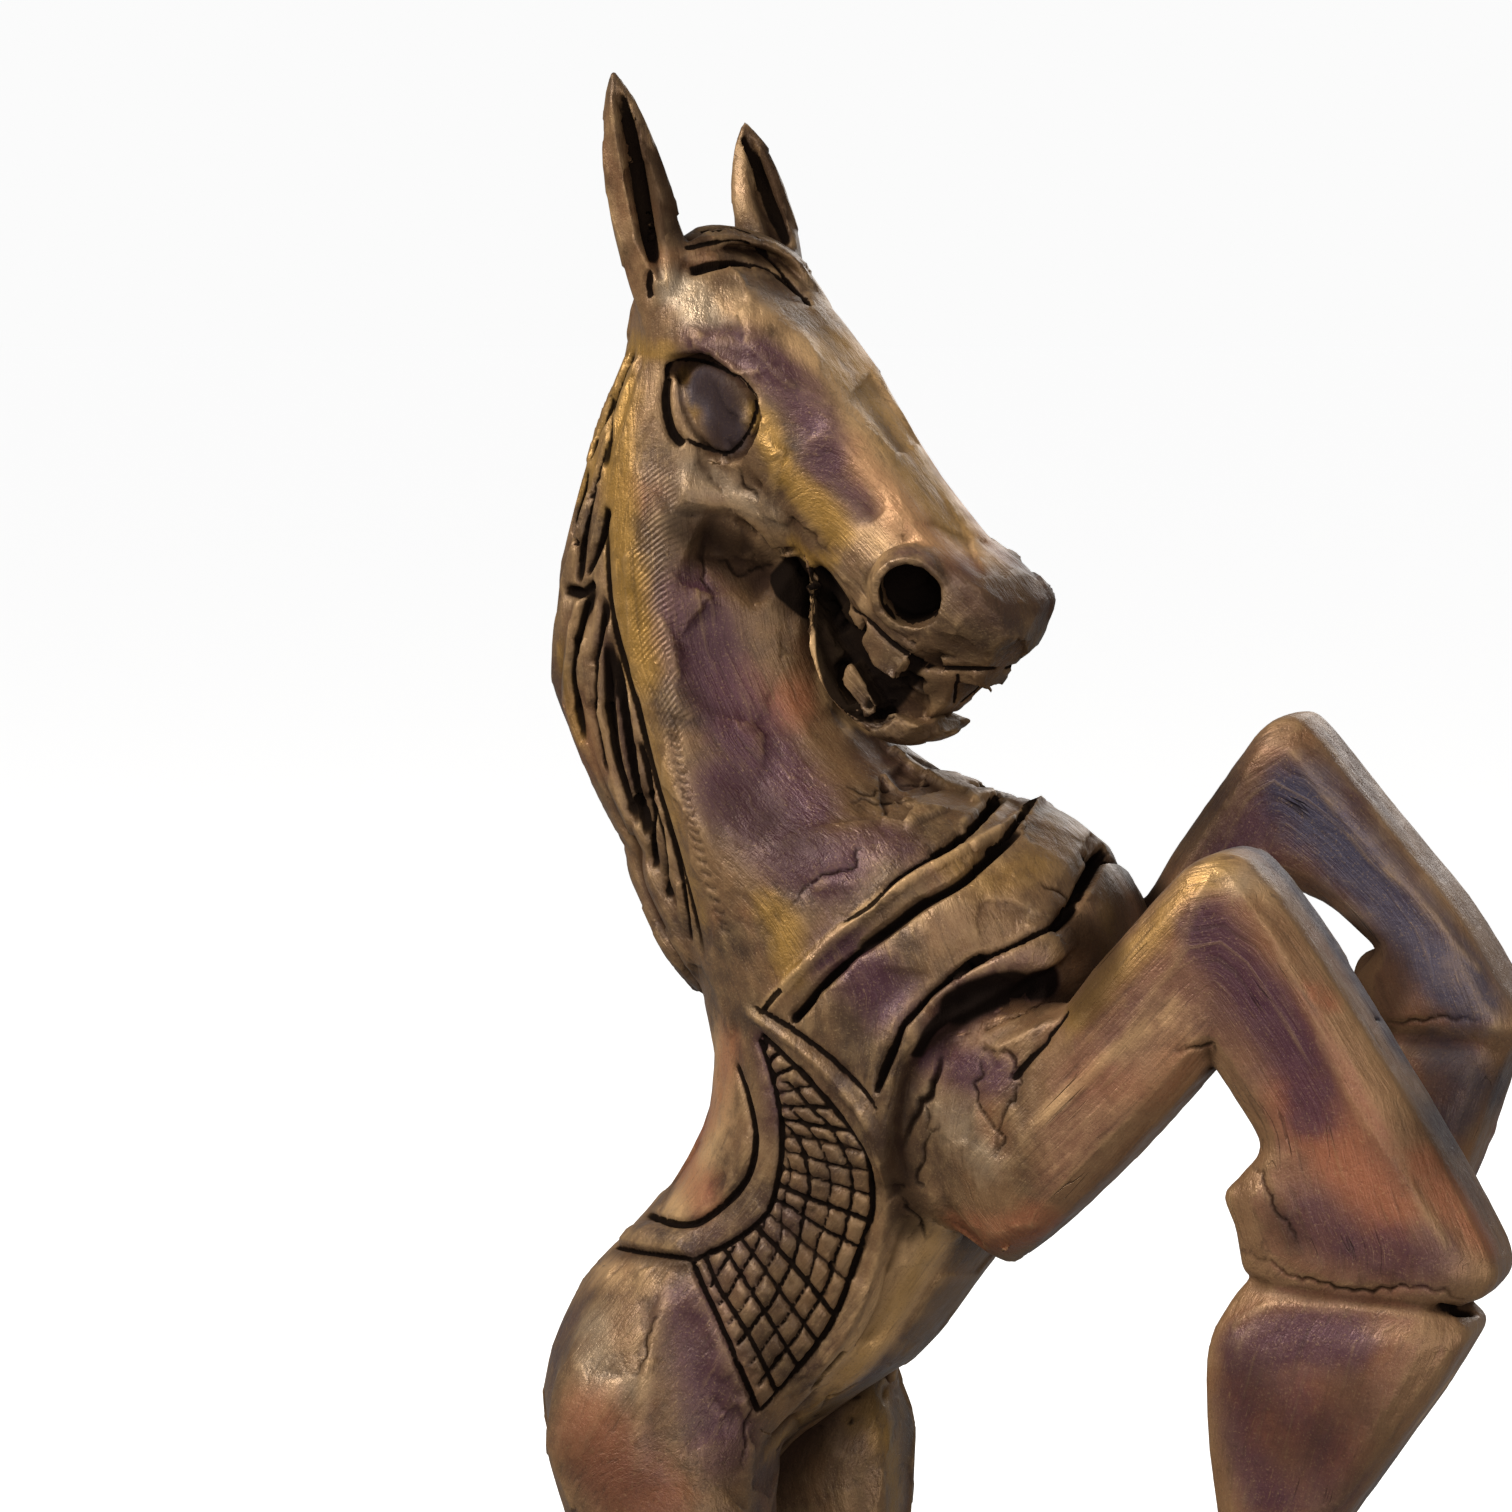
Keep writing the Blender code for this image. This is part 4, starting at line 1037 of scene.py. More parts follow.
def shape_neck_and_head(work):
    """The neck's ridge between two planes, a step at the cheek, and the planes of brow, temple and nose."""
    for path, turned, radius, height in (
        (((668, 470), (664, 530), (664, 600), (672, 680), (683, 760), (698, 840), (712, 905)), False, 7, 1.6),
        (((712, 600), (722, 670), (742, 740), (768, 800), (790, 840)), False, 14, -2.4),
        (((690, 540), (716, 552), (748, 570), (780, 592)), True, 8.5, -6.5),
    ):
        work.press(work.both(path, turned), radius * MM, height * MM)
    work.settle()
    cheek = ((674, 506), (702, 509), (735, 513), (764, 530), (790, 562))
    work.terrace(work.both(cheek, True), 1.2 * MM, 11 * MM, 2.6 * MM)
    for path, radius, height in (
        (((668, 345), (705, 338), (745, 352), (775, 378), (790, 410)), 4, 1.1),
        (((740, 420), (770, 455), (800, 500), (815, 540)), 5, 1.0),
        (((820, 440), (845, 480), (880, 520)), 6, -1.2),
        (((850, 400), (900, 460), (950, 525)), 4, 0.8),
        (((690, 455), (730, 475), (765, 500)), 5, -1.3),
    ):
        work.press(work.both(path, True), radius * MM, height * MM)
    work.settle()


def cut_facets(work, limbs):
    """Flats that a knife leaves: broad ones on the body, and smaller, harder ones on the muzzle."""
    work.facet(BODY_FACET, 0.6 * MM, 0.45, 3, 1 - 0.8 * limbs)
    work.settle()
    u, v, w = on_axes(work.points)
    muzzle = smoothstep(19.0, 21.0, u) * (u < 26) * (np.abs(v) < 8) * (np.abs(w) < 4)
    work.facet(MUZZLE_FACET, 1.6 * MM, 1.0, 21, muzzle)
    work.settle()


def cut_eyes(work):
    """A gap before each ball, painted dark as shade, lids round it, and a cut along the ball."""
    gap = ((674, 362), (667, 382), (666, 405), (672, 430), (684, 444))
    lids = ((674, 361), (704, 361), (738, 377), (757, 403), (748, 432), (729, 453), (704, 447), (684, 438))
    over_ball = ((680, 372), (681, 400), (693, 430), (715, 452))
    work.groove(work.both(gap, True), 1.7 * MM, 2.6 * MM, lean=-0.3)
    work.groove(work.both(lids, True), 0.7 * MM, 0.9 * MM)
    work.groove(work.both(over_ball, True), 0.8 * MM, 0.6 * MM, mask="crack", strength=0.6)


def cut_mouth(work):
    """Lips, teeth and the mouth's corner, with painted shade inside."""
    for width, depth, path in (
        (1.0, 1.3, (
            (806, 570), (824, 574), (844, 600), (871, 624), (894, 645), (926, 665), (960, 669),
            (998, 669),
        )),
        (2.2, 3.0, ((810, 582), (822, 594), (836, 612), (846, 632))),
        (0.7, 0.8, ((958, 674), (955, 704))),
        (1.6, 1.6, ((800, 566), (806, 574))),
    ):
        work.groove(work.both(path, True), width * MM, depth * MM, ends=0.1)
    # Painted shade inside the lips, in the mouth's corner and in the nostril
    for path, radius in (
        (((820, 592), (820, 625), (824, 660), (836, 694), (860, 716)), 2.0),
        (((812, 582), (830, 606), (842, 630)), 3.2),
        (((893, 580), (920, 602)), 8.0),
    ):
        work.paint("hollow", work.both(path, True), radius * MM, 1.0)


def cut_crown(work):
    """Forelock and ears."""
    for path, width, depth, ends in (
        (((688, 270), (712, 263), (735, 260), (752, 264)), 2.4, 3.2, 0.12),
        (((684, 247), (712, 243), (742, 243), (768, 257), (790, 281), (812, 306)), 1.2, 1.7, 0.12),
        (((742, 262), (770, 270), (800, 296)), 0.9, 1.0, 0.12),
        (((700, 232), (735, 228), (760, 238)), 0.8, 0.8, 0.12),
        (((652, 270), (648, 285), (650, 298)), 1.4, 1.6, 0.12),
        (((622, 92), (633, 145), (644, 205), (653, 264)), 2.3, 2.6, 0.2),
        (((743, 134), (756, 168), (772, 210), (789, 250)), 2.2, 2.4, 0.2),
    ):
        work.groove(work.seen(path), width * MM, depth * MM, ends=ends)


def cut_mane(work):
    """Deep cuts between the locks, and one across the mane's outer edge."""
    for path, width, depth in (
        (((634, 352), (620, 385), (610, 420), (603, 470)), 1.1, 1.8),
        (((612, 395), (592, 445), (578, 500), (572, 545)), 1.2, 2.0),
        (((606, 440), (590, 490), (580, 545), (577, 585)), 1.2, 2.0),
        (((605, 505), (596, 540), (584, 575)), 1.6, 2.6),
        (((592, 585), (574, 630), (568, 680), (582, 745)), 1.7, 3.0),
        (((604, 596), (592, 650), (588, 700), (604, 778)), 1.8, 3.2),
        (((606, 640), (604, 700), (612, 765), (636, 828)), 1.9, 3.2),
        (((611, 650), (622, 720), (634, 790), (646, 840)), 1.7, 2.8),
        (((636, 740), (648, 800), (654, 870)), 1.3, 2.2),
        (((650, 800), (662, 850), (668, 900)), 1.3, 2.2),
        (((662, 815), (677, 880), (689, 943)), 1.4, 2.4),
        (((604, 500), (609, 611), (634, 706), (653, 782), (680, 869), (704, 960)), 1.2, 1.6),
    ):
        half_width, deep = MANE_WIDER * width * MM, MANE_DEEPER * depth * MM
        work.groove(work.both(path), half_width, deep, ends=0.25, lean=0.3, strength=0.85)
    edge = ((563, 590), (578, 592), (594, 582))
    work.groove(work.both(edge), 2.2 * MM, 3.2 * MM, ends=0.2, strength=0.8)


def part_hoof(work):
    """A gap between the shank and the hoof."""
    gap = ((1436, 1306), (1456, 1311), (1478, 1312))
    work.groove(work.both(gap), 1.5 * MM, 2.2 * MM, ends=0.3, strength=0.7)


def sink_armholes(work):
    """The trunk's edge stands over a recess that the shoulder rises from."""
    edge = (
        (905, 1185), (896, 1140), (897, 1105), (908, 1062),
        (945, 1028), (992, 1000), (1043, 970), (1080, 940),
    )
    recess = ((936, 1022), (965, 1000), (1005, 990), (1045, 984))
    split = ((944, 1054), (930, 1082), (917, 1112), (903, 1150))
    fold = ((990, 1055), (1025, 1038), (1058, 1022))
    cut = ((1068, 1010), (1052, 1034), (1030, 1058), (1012, 1080))
    work.terrace(work.both(edge), 1.3 * MM, 15 * MM, 4.2 * MM)
    work.press(work.both(recess), 6 * MM, -4.6 * MM)
    work.crack(split, 31, half_width=1.1, depth=1.8, jitter=3.0)
    work.press(work.both(fold), 3.2 * MM, 1.6 * MM)
    work.groove(work.both(cut), 1.3 * MM, 1.6 * MM)


def raise_ridges(work):
    """Ridges between the planes of arms and knees, and a ridge and a hollow on the thigh."""
    for path in (
        ((1010, 1150), (1081, 1084), (1130, 1028), (1172, 968), (1195, 905), (1219, 862)),
        ((1219, 862), (1244, 897), (1276, 946), (1317, 1027), (1357, 1108), (1406, 1182), (1452, 1252)),
        ((1290, 748), (1309, 775), (1366, 848), (1422, 905), (1484, 976)),
        ((1230, 1328), (1268, 1306), (1330, 1308), (1400, 1314), (1460, 1320)),
        ((1452, 1345), (1392, 1430), (1335, 1508)),
    ):
        work.press(work.both(path), 1.8 * MM, 0.55 * MM, ends=0.05)
    work.press(work.both(((672, 1285), (655, 1340), (640, 1420), (636, 1490))), 3.5 * MM, 1.2 * MM)
    work.press(work.both(((690, 1300), (705, 1370), (715, 1450))), 9 * MM, -1.4 * MM)


def cut_straps(work):
    """A raised edge, narrow steep cuts, wedges where the knife went deep, and sunk bands beside them."""
    edge = ((758, 1014), (800, 970), (846, 928), (905, 882), (960, 852), (1000, 828), (1035, 803))
    work.press(work.both(edge, further=RUN_ON), 1.9 * MM, 1.8 * MM, ends=0.08)
    for width, depth, path in (
        (0.9, 2.2, ((843, 924), (872, 906), (897, 880), (934, 856), (960, 838), (981, 817), (1000, 797))),
        (1.9, 4.2, ((930, 858), (960, 838), (981, 817), (1002, 795))),
        (1.0, 1.8, ((760, 1014), (770, 1003), (784, 988))),
        (1.2, 3.0, (
            (790, 1024), (799, 1015), (825, 984), (852, 958), (892, 927), (924, 903), (960, 882), (984, 861),
            (1012, 828), (1032, 805),
        )),
        (1.7, 4.0, ((791, 1022), (800, 1013), (826, 982), (848, 962))),
        (2.1, 4.6, ((858, 952), (892, 927), (924, 903), (960, 882), (984, 861))),
        (1.4, 3.4, (
            (876, 1095), (881, 1080), (895, 1046), (903, 1023), (924, 999),
            (955, 973), (991, 953), (1033, 934), (1059, 924),
        )),
        (1.7, 3.6, ((880, 1080), (894, 1048))),
        (1.9, 4.2, ((903, 1023), (924, 999), (955, 973), (991, 953))),
        (2.0, 4.6, ((1052, 930), (1072, 911), (1088, 882), (1105, 853))),
    ):
        x, y = path[-1]
        over = (SHORT_RUN_ON if x > 1050 else RUN_ON) if y < 870 else 0
        work.groove(work.both(path, further=over), width * MM, depth * MM, ends=0.12, lean=0.2)
    for path, over in (
        (((800, 1014), (852, 958), (924, 903), (984, 861), (1028, 810)), 14 * MM),
        (((903, 1023), (955, 973), (1000, 950), (1036, 936)), 0),
        (((1068, 915), (1088, 882), (1104, 856)), 6 * MM),
    ):
        work.terrace(work.both(path, further=over), 0.8 * MM, 7 * MM, -1.1 * MM, ends=0.2)


def cut_saddle(work):
    """The welt, and the borders of the flap and the pad."""
    welt = (
        (740, 1006), (783, 1036), (820, 1066), (855, 1106), (878, 1148),
        (888, 1200), (876, 1262), (850, 1324), (814, 1374),
    )
    seam = ((750, 1004), (790, 1028), (832, 1060), (862, 1090), (878, 1112))
    hip_step = ((602, 1240), (640, 1249), (690, 1257))
    hip_cut = ((602, 1243), (640, 1252), (692, 1259))
    pad_border = ((735, 1062), (748, 1102), (754, 1143), (742, 1184), (704, 1218), (677, 1224), (646, 1213))
    girth = ((906, 1215), (889, 1260), (878, 1306), (852, 1352), (809, 1398), (750, 1457))
    split = ((846, 1352), (828, 1372), (812, 1392))
    work.press(work.both(welt), 2.0 * MM, 1.5 * MM, ends=0.06)
    work.groove(work.both(seam), 0.9 * MM, 1.4 * MM, ends=0.25)
    work.terrace(work.both(hip_step), 0.8 * MM, 9 * MM, 2.4 * MM)
    work.groove(work.both(hip_cut), 0.9 * MM, 1.3 * MM, ends=0.05, strength=0.7)
    work.groove(work.both(pad_border), 1.5 * MM, 2.4 * MM)
    work.terrace(work.both(girth), 1.0 * MM, 8 * MM, -1.6 * MM)
    work.groove(work.both(split), 1.1 * MM, 1.6 * MM, mask="crack", strength=0.8)


def hatch(work, rear, front, rows, pitch, lay):
    """Rulings between the flap's two long borders, and others that keep their distance from the front one."""
    draw = np.random.default_rng(4)
    unsteady = 0.05 * pitch

    def rule(path, deepest):
        half_width, depth = draw.uniform(0.6, 1.0) * MM, draw.uniform(1.4, deepest) * MM
        work.groove(lay(path), half_width, depth, ends=0.03, strength=draw.uniform(0.5, 0.85))

    for path in (rear, front, (rear[-1], front[-1])):
        work.groove(lay(path), 1.15 * MM, 2.3 * MM, ends=0.04, strength=0.9)
    for k in range(1, rows + 1):
        share = k / (rows + 1)
        ruling = along((along(rear, share)[0], along(front, share)[0]), (0, 0.3, 0.6, 1))
        rule(ruling + draw.normal(0, unsteady, ruling.shape), 2.2)
    shares = np.linspace(0.02, 0.98, 24)
    starts, ends = along(front, shares), along(rear, shares)
    width = np.linalg.norm(ends - starts, axis=1)
    for number in range(1, int(width.max() / pitch) + 1):
        inside = width > number * pitch
        across = (starts + (ends - starts) * (number * pitch / width)[:, None])[inside]
        if len(across) > 2:
            rule(across + draw.normal(0, unsteady, across.shape), 2.0)


def hatch_saddle(work):
    """Rulings on both flaps, with chipped cells on the near one."""
    rear = (
        (757, 1038), (768, 1070), (776, 1105), (780, 1140),
        (776, 1180), (764, 1215), (729, 1243), (690, 1260),
    )
    front = (
        (759, 1034), (776, 1050), (809, 1083), (843, 1123), (866, 1163),
        (872, 1209), (857, 1260), (832, 1323), (797, 1372), (760, 1414),
    )
    hatch(work, rear, front, NEAR_RULINGS, NEAR_PITCH_PX, work.seen)
    hatch(work, FLAP_REAR, FLAP_FRONT, FAR_RULINGS, FAR_PITCH, lambda path: work.from_side(path, LEFT))
    for line in work.seen(((795, 1080), (825, 1150), (815, 1230), (770, 1310), (755, 1380))):
        index, distance, *_ = work.near(line, 16 * MM)
        chips = gradient_noise(work.points[index] / (2.6 * MM), 12)
        chips *= 1 - smoothstep(11 * MM, 15 * MM, distance)
        work.raised[index] -= 0.55 * MM * smoothstep(0.1, 0.6, chips)


def cut_scallops(work):
    """Scallops that a gouge left along the neck's ridge, and its short marks on the hip."""
    for share in np.linspace(0, 1, 22):
        x, y = along(((672, 735), (684, 790), (698, 850), (724, 930)), share)[0]
        scallop = ((x - 6, y - 4), (x, y + 1), (x + 7, y + 2))
        work.groove(work.both(scallop), 0.9 * MM, 0.7 * MM, strength=0.45)
    for k in range(9):
        x, y = 582 + 4.6 * k, 1360 - 1.2 * k
        short = ((x, y), (x + 5, y + 11), (x + 7, y + 26))
        work.groove(work.both(short), 0.5 * MM, 0.35 * MM, mask="crack", strength=0.3)


def cut_cracks(work):
    for number, path in enumerate((
        ((845, 786), (870, 793), (905, 788), (936, 778)),
        ((848, 800), (880, 802), (915, 800)),
        ((862, 846), (846, 868), (815, 880), (790, 905)),
        ((937, 1072), (932, 1100), (926, 1135)),
        ((984, 1060), (978, 1080), (983, 1105), (992, 1125)),
        ((1023, 1062), (1016, 1090), (1003, 1118), (998, 1150)),
        ((900, 1195), (917, 1215), (926, 1240)),
        ((776, 1450), (812, 1420), (858, 1382)),
        ((660, 1317), (648, 1345), (632, 1375)),
        ((740, 468), (748, 484), (757, 503)),
        ((1376, 1020), (1420, 1022), (1480, 1018)),
        ((1240, 1248), (1290, 1275), (1350, 1290), (1420, 1288), (1468, 1300)),
        ((1250, 1160), (1275, 1200), (1300, 1245)),
        ((1215, 1055), (1195, 1046), (1172, 1052)),
        ((716, 560), (742, 572), (770, 566)),
        ((1002, 1048), (1014, 1060), (1008, 1080)),
        ((988, 1118), (1001, 1136), (994, 1158)),
        ((938, 1122), (925, 1158), (921, 1190)),
        ((706, 545), (700, 570), (712, 590)),
        ((1040, 880), (1058, 893), (1078, 902)),
        ((750, 1395), (748, 1430), (744, 1470)),
    )):
        work.crack(path, number, turned=path[0][1] < HEAD_LOWEST_PX)


def roughen(work):
    """The unevenness that the tool leaves everywhere."""
    work.points = smooth(work.points, work.edges, 1, 0.3)
    work.refresh()
    work.raised += 0.1 * MM * gradient_noise(work.points / (9 * MM), 5)
    work.raised += 0.07 * MM * gradient_noise(work.points / (3.5 * MM), 6)
    work.settle()


# Where the patina's colours lie, with painted highlights and painted shade among them
# For each colour: the stroke's path in pixels, its radius in millimetres, its strength
HEAD_STROKES = {
    # Golden wax, partly painted highlight on lit planes
    "gold_and_highlight": (
        (((628, 345), (652, 350), (690, 354)), 3, 0.9),
        (((757, 412), (768, 440), (784, 474)), 4, 1.0),
        (((800, 488), (822, 510), (836, 532)), 5, 1.0),
        (((795, 545), (810, 560), (830, 560)), 3, 0.8),
        (((820, 345), (860, 400), (900, 462), (950, 530)), 5, 0.5),
        # A painted glint on the eye's ball, golden
        (((684, 372), (689, 392), (697, 412)), 1.8, 1.0),
        (((683, 374), (688, 390)), 1.6, 0.9),
    ),
    # Light brown, partly painted highlight on the nose's ridge and the jaw's rim
    "tan": (
        (((815, 350), (850, 400), (885, 460), (925, 520), (960, 545)), 9, 1.0),
        (((700, 300), (750, 305), (790, 330)), 6, 0.45),
        (((842, 535), (880, 545), (868, 600)), 4, 0.5),
        (((814, 580), (811, 621), (814, 655), (824, 691), (840, 710), (866, 730)), 1.7, 1.0),
    ),
    # Painted shade deep in the near ear's hollow
    "hollow": (
        (((636, 165), (643, 205), (650, 250)), 2.0, 0.9),
    ),
    # Dark brown, partly painted shade in the ears' hollows, under the cheek and in the throat
    "umber_and_shade": (
        (((637, 130), (650, 180), (662, 235)), 3, 0.8),
        (((764, 150), (777, 190), (788, 235)), 3, 0.9),
        (((705, 352), (750, 356), (792, 382)), 3.5, 0.45),
        (((752, 572), (772, 582), (792, 604)), 5, 0.9),
        (((955, 575), (985, 600), (1015, 605), (1025, 580)), 7, 0.55),
        (((905, 650), (940, 650), (975, 640)), 5, 0.4),
        (((706, 385), (726, 402), (724, 435)), 6.5, 1.0),
        (((684, 526), (725, 541), (775, 578)), 6, 0.9),
        (((870, 640), (890, 665)), 4, 0.4),
        (((930, 690), (965, 690)), 5, 0.6),
        (((880, 742), (915, 742), (940, 722)), 4, 0.6),
        (((906, 585), (908, 600)), 6, 1.0),
        (((920, 690), (960, 690), (990, 680)), 4, 0.5),
    ),
    "plum": (
        (((695, 348), (735, 350), (765, 362), (798, 390), (819, 425), (828, 462)), 7, 1.0),
        (((828, 462), (845, 485), (866, 508)), 5, 0.65),
        (((902, 552), (918, 552), (930, 560)), 3, 0.7),
        (((960, 560), (975, 600), (1010, 610)), 7, 0.45),
    ),
    "copper": (
        (((850, 450), (890, 500), (960, 560)), 7, 0.55),
    ),
    # Painted highlights, greyish bronze, on the forehead, the brow and the cheek
    "grey_highlight": (
        (((672, 285), (690, 292), (703, 318)), 5, 1.0),
        (((720, 290), (770, 300), (815, 325)), 6, 0.35),
        (((690, 470), (730, 490), (770, 515)), 5, 0.5),
    ),
    "blue": (
        (((700, 385), (718, 400), (728, 430)), 6, 1.0),
    ),
}
BODY_STROKES = {
    # Golden wax, partly painted highlight on lit planes and on the upper arm's top facet
    "gold_and_highlight": (
        (((624, 372), (617, 440), (620, 540), (631, 615), (640, 670)), 7, 1.0),
        (((640, 690), (660, 770), (684, 860), (700, 920)), 4, 0.5),
        (((618, 385), (598, 435), (583, 490)), 5, 0.8),
        (((770, 905), (786, 935), (790, 965)), 6, 0.8),
        (((1075, 1015), (1120, 965), (1170, 910), (1215, 868)), 6, 0.7),
        (((935, 1235), (900, 1300), (840, 1385), (770, 1450)), 4, 0.5),
        (((865, 1395), (890, 1440), (895, 1512)), 7, 0.6),
        (((560, 650), (566, 690), (580, 740)), 3, 0.6),
        (((950, 860), (990, 880), (1040, 860)), 6, 0.45),
        (((1110, 900), (1105, 960), (1080, 1010)), 5, 0.4),
    ),
    # Light brown, partly painted light on the belly, the waist and the straps' ridge
    "tan": (
        (((930, 1235), (895, 1300), (835, 1380)), 8, 1.0),
        (((1215, 870), (1241, 872), (1262, 880)), 6, 0.7),
        (((680, 1200), (706, 1150), (718, 1100), (722, 1060)), 9, 0.95),
        (((1420, 1420), (1450, 1380)), 4, 0.7),
        (((1060, 1150), (1120, 1100), (1180, 1030)), 8, 0.3),
        (((1040, 1120), (1100, 1065), (1170, 1010)), 2.4, 0.6),
        (((762, 1010), (846, 925), (905, 880), (1000, 826)), 1.6, 0.7),
        (((1330, 745), (1400, 840), (1470, 930)), 4, 0.4),
        (((600, 1270), (630, 1275), (660, 1280)), 5, 0.4),
    ),
    "plum": (
        (((692, 600), (712, 670), (752, 742), (800, 812)), 11, 1.0),
        (((830, 862), (870, 838), (905, 850)), 7, 0.7),
        (((845, 960), (868, 975), (885, 1000)), 10, 0.95),
        (((930, 1060), (958, 1012), (1043, 983)), 5, 1.0),
        (((950, 1065), (975, 1072), (1000, 1075)), 6, 0.9),
        (((1205, 925), (1250, 985), (1300, 1060), (1312, 1110)), 8, 1.0),
        (((1240, 1350), (1290, 1338), (1350, 1340)), 8, 1.0),
        (((1225, 850), (1263, 816), (1290, 790)), 6, 0.9),
        (((690, 1310), (708, 1370), (722, 1440)), 11, 0.8),
        (((1060, 1130), (1130, 1070)), 8, 0.2),
        (((762, 1040), (772, 1075), (780, 1120)), 4, 0.8),
        (((603, 640), (618, 710), (634, 780)), 3, 0.5),
        (((730, 790), (770, 825), (800, 855), (835, 865)), 11, 1.0),
        (((1235, 1395), (1246, 1450), (1275, 1500)), 9, 0.8),
        (((1360, 790), (1300, 830), (1262, 870)), 7, 0.5),
        (((1310, 1215), (1360, 1245), (1430, 1262)), 9, 0.75),
        (((950, 985), (1000, 965), (1040, 958)), 4, 0.7),
        (((1290, 1400), (1320, 1450), (1330, 1500)), 12, 0.6),
    ),
    "copper": (
        (((735, 690), (757, 715), (790, 705)), 8, 0.8),
        (((1300, 1100), (1340, 1155), (1384, 1211)), 9, 1.0),
        (((1425, 1165), (1455, 1200), (1488, 1240)), 6, 1.0),
        (((1312, 990), (1330, 1002)), 3, 0.9),
        (((965, 1232), (1000, 1240), (1040, 1225)), 7, 1.0),
        (((1300, 1000), (1345, 1080), (1400, 1170)), 4, 0.5),
        (((705, 1195), (690, 1165), (715, 1105), (728, 1050)), 8, 0.75),
        (((585, 1450), (620, 1500)), 8, 0.5),
        (((1245, 1400), (1280, 1430), (1310, 1400)), 8, 0.6),
        (((1090, 1080), (1150, 1090), (1180, 1060)), 7, 0.45),
        (((1349, 1440), (1335, 1470)), 6, 0.6),
        (((1238, 1392), (1260, 1440)), 5, 0.8),
        (((590, 1430), (620, 1470), (650, 1500)), 13, 0.7),
    ),
    # Dark brown, partly painted shade in the throat, under the straps and in the armhole's recess
    "umber_and_shade": (
        (((1250, 1440), (1320, 1470), (1380, 1440)), 10, 0.4),
        (((712, 548), (742, 572), (772, 596)), 7, 0.6),
        (((884, 1140), (900, 1180), (912, 1225)), 6, 0.8),
        (((790, 1110), (815, 1200), (790, 1290), (765, 1370)), 12, 0.5),
        (((850, 790), (890, 795), (930, 785)), 5, 0.5),
        (((1090, 875), (1120, 905), (1110, 950)), 8, 0.7),
        (((1072, 930), (1106, 958), (1084, 1000)), 8, 0.9),
        (((1275, 1215), (1290, 1240)), 6, 0.6),
        (((780, 1490), (820, 1440), (860, 1400)), 9, 0.8),
        (((612, 640), (625, 720), (645, 800)), 4, 0.7),
        (((606, 1252), (645, 1259), (685, 1264)), 2, 0.6),
        (((940, 1030), (965, 1012), (1003, 1000), (1042, 996)), 7, 0.9),
        (((735, 800), (765, 830), (800, 850)), 10, 0.6),
        (((1245, 1390), (1300, 1450), (1350, 1400)), 11, 0.6),
        (((1420, 1040), (1445, 1100), (1435, 1150)), 14, 0.6),
        (((580, 1450), (620, 1490)), 12, 0.5),
        (((905, 1090), (912, 1150), (915, 1200)), 3.5, 0.6),
    ),
    # Painted highlights, greyish bronze, on the thigh, the shoulder, the knee and the cheek
    "grey_highlight": (
        (((590, 1330), (600, 1372), (625, 1392)), 7, 0.6),
        (((940, 1105), (962, 1130), (985, 1160)), 7, 0.5),
        (((1215, 872), (1240, 880), (1262, 868)), 5, 0.6),
        (((690, 470), (684, 520)), 6, 0.4),
    ),
    "blue": (
        (((1300, 795), (1350, 856), (1410, 926), (1470, 1000)), 10, 1.0),
        (((1440, 1050), (1470, 1080), (1440, 1130)), 8, 0.7),
        (((640, 1450), (660, 1500)), 8, 0.3),
    ),
    # Painted shade in the recess below the straps and beside the armhole
    "hollow": (
        (((958, 1006), (978, 996), (1006, 987), (1042, 981)), 5.5, 0.95),
        (((918, 1052), (932, 1030), (950, 1012), (970, 1000)), 2.4, 0.8),
    ),
    "rasp": (
        (((652, 495), (656, 560), (660, 640), (672, 720)), 6, 1.0),
    ),
}


def mark_holes(work):
    """The mouth's inside and the nostrils are painted dark, as shade."""
    face, brow, right = (np.array(axis) for axis in head_axes())
    u, v, w = on_axes(work.points)
    in_mouth = smoothstep(12.3, 13.0, u) * (1 - smoothstep(20.6, 21.6, u)) * smoothstep(-6.7, -6.2, v)
    in_mouth *= (1 - smoothstep(-2.5, -2.0, v)) * (1 - smoothstep(2.05, 2.4, np.abs(w)))
    work.mark("hollow", np.arange(len(u)), in_mouth)
    for side in BOTH:
        out = face * NOSTRIL_OUT[0] + brow * NOSTRIL_OUT[1] - right * (side * NOSTRIL_OUT[2])
        out /= np.linalg.norm(out)
        away = work.points - np.array(on_head(NOSTRIL[0], NOSTRIL[1], -side * NOSTRIL[2]))
        height = away @ out
        wide = np.linalg.norm(away - height[:, None] * out, axis=1)
        inside = (wide < NOSTRIL_HOLE * 1.06 * UNIT) & (height > -2.4 * UNIT)
        deep = 1 - smoothstep(-0.2 * UNIT, 0.35 * UNIT, height[inside])
        work.mark("hollow", np.flatnonzero(inside), deep)


def paint_strokes(work):
    """Every stroke on both sides, and a dark fetlock where the ergot is."""
    fetlock = np.array(place(ERGOT[0], LEFT * LEFT_FORELEG[-1][4], ERGOT[1]))
    away = np.linalg.norm(work.points - fetlock, axis=1)
    work.mark("umber_and_shade", np.arange(len(away)), 1 - smoothstep(3.0 * UNIT, 4.4 * UNIT, away))
    for table, turned in ((HEAD_STROKES, True), (BODY_STROKES, False)):
        for name, strokes in table.items():
            for path, radius, strength in strokes:
                work.paint(name, work.both(path, turned), radius * MM, strength)


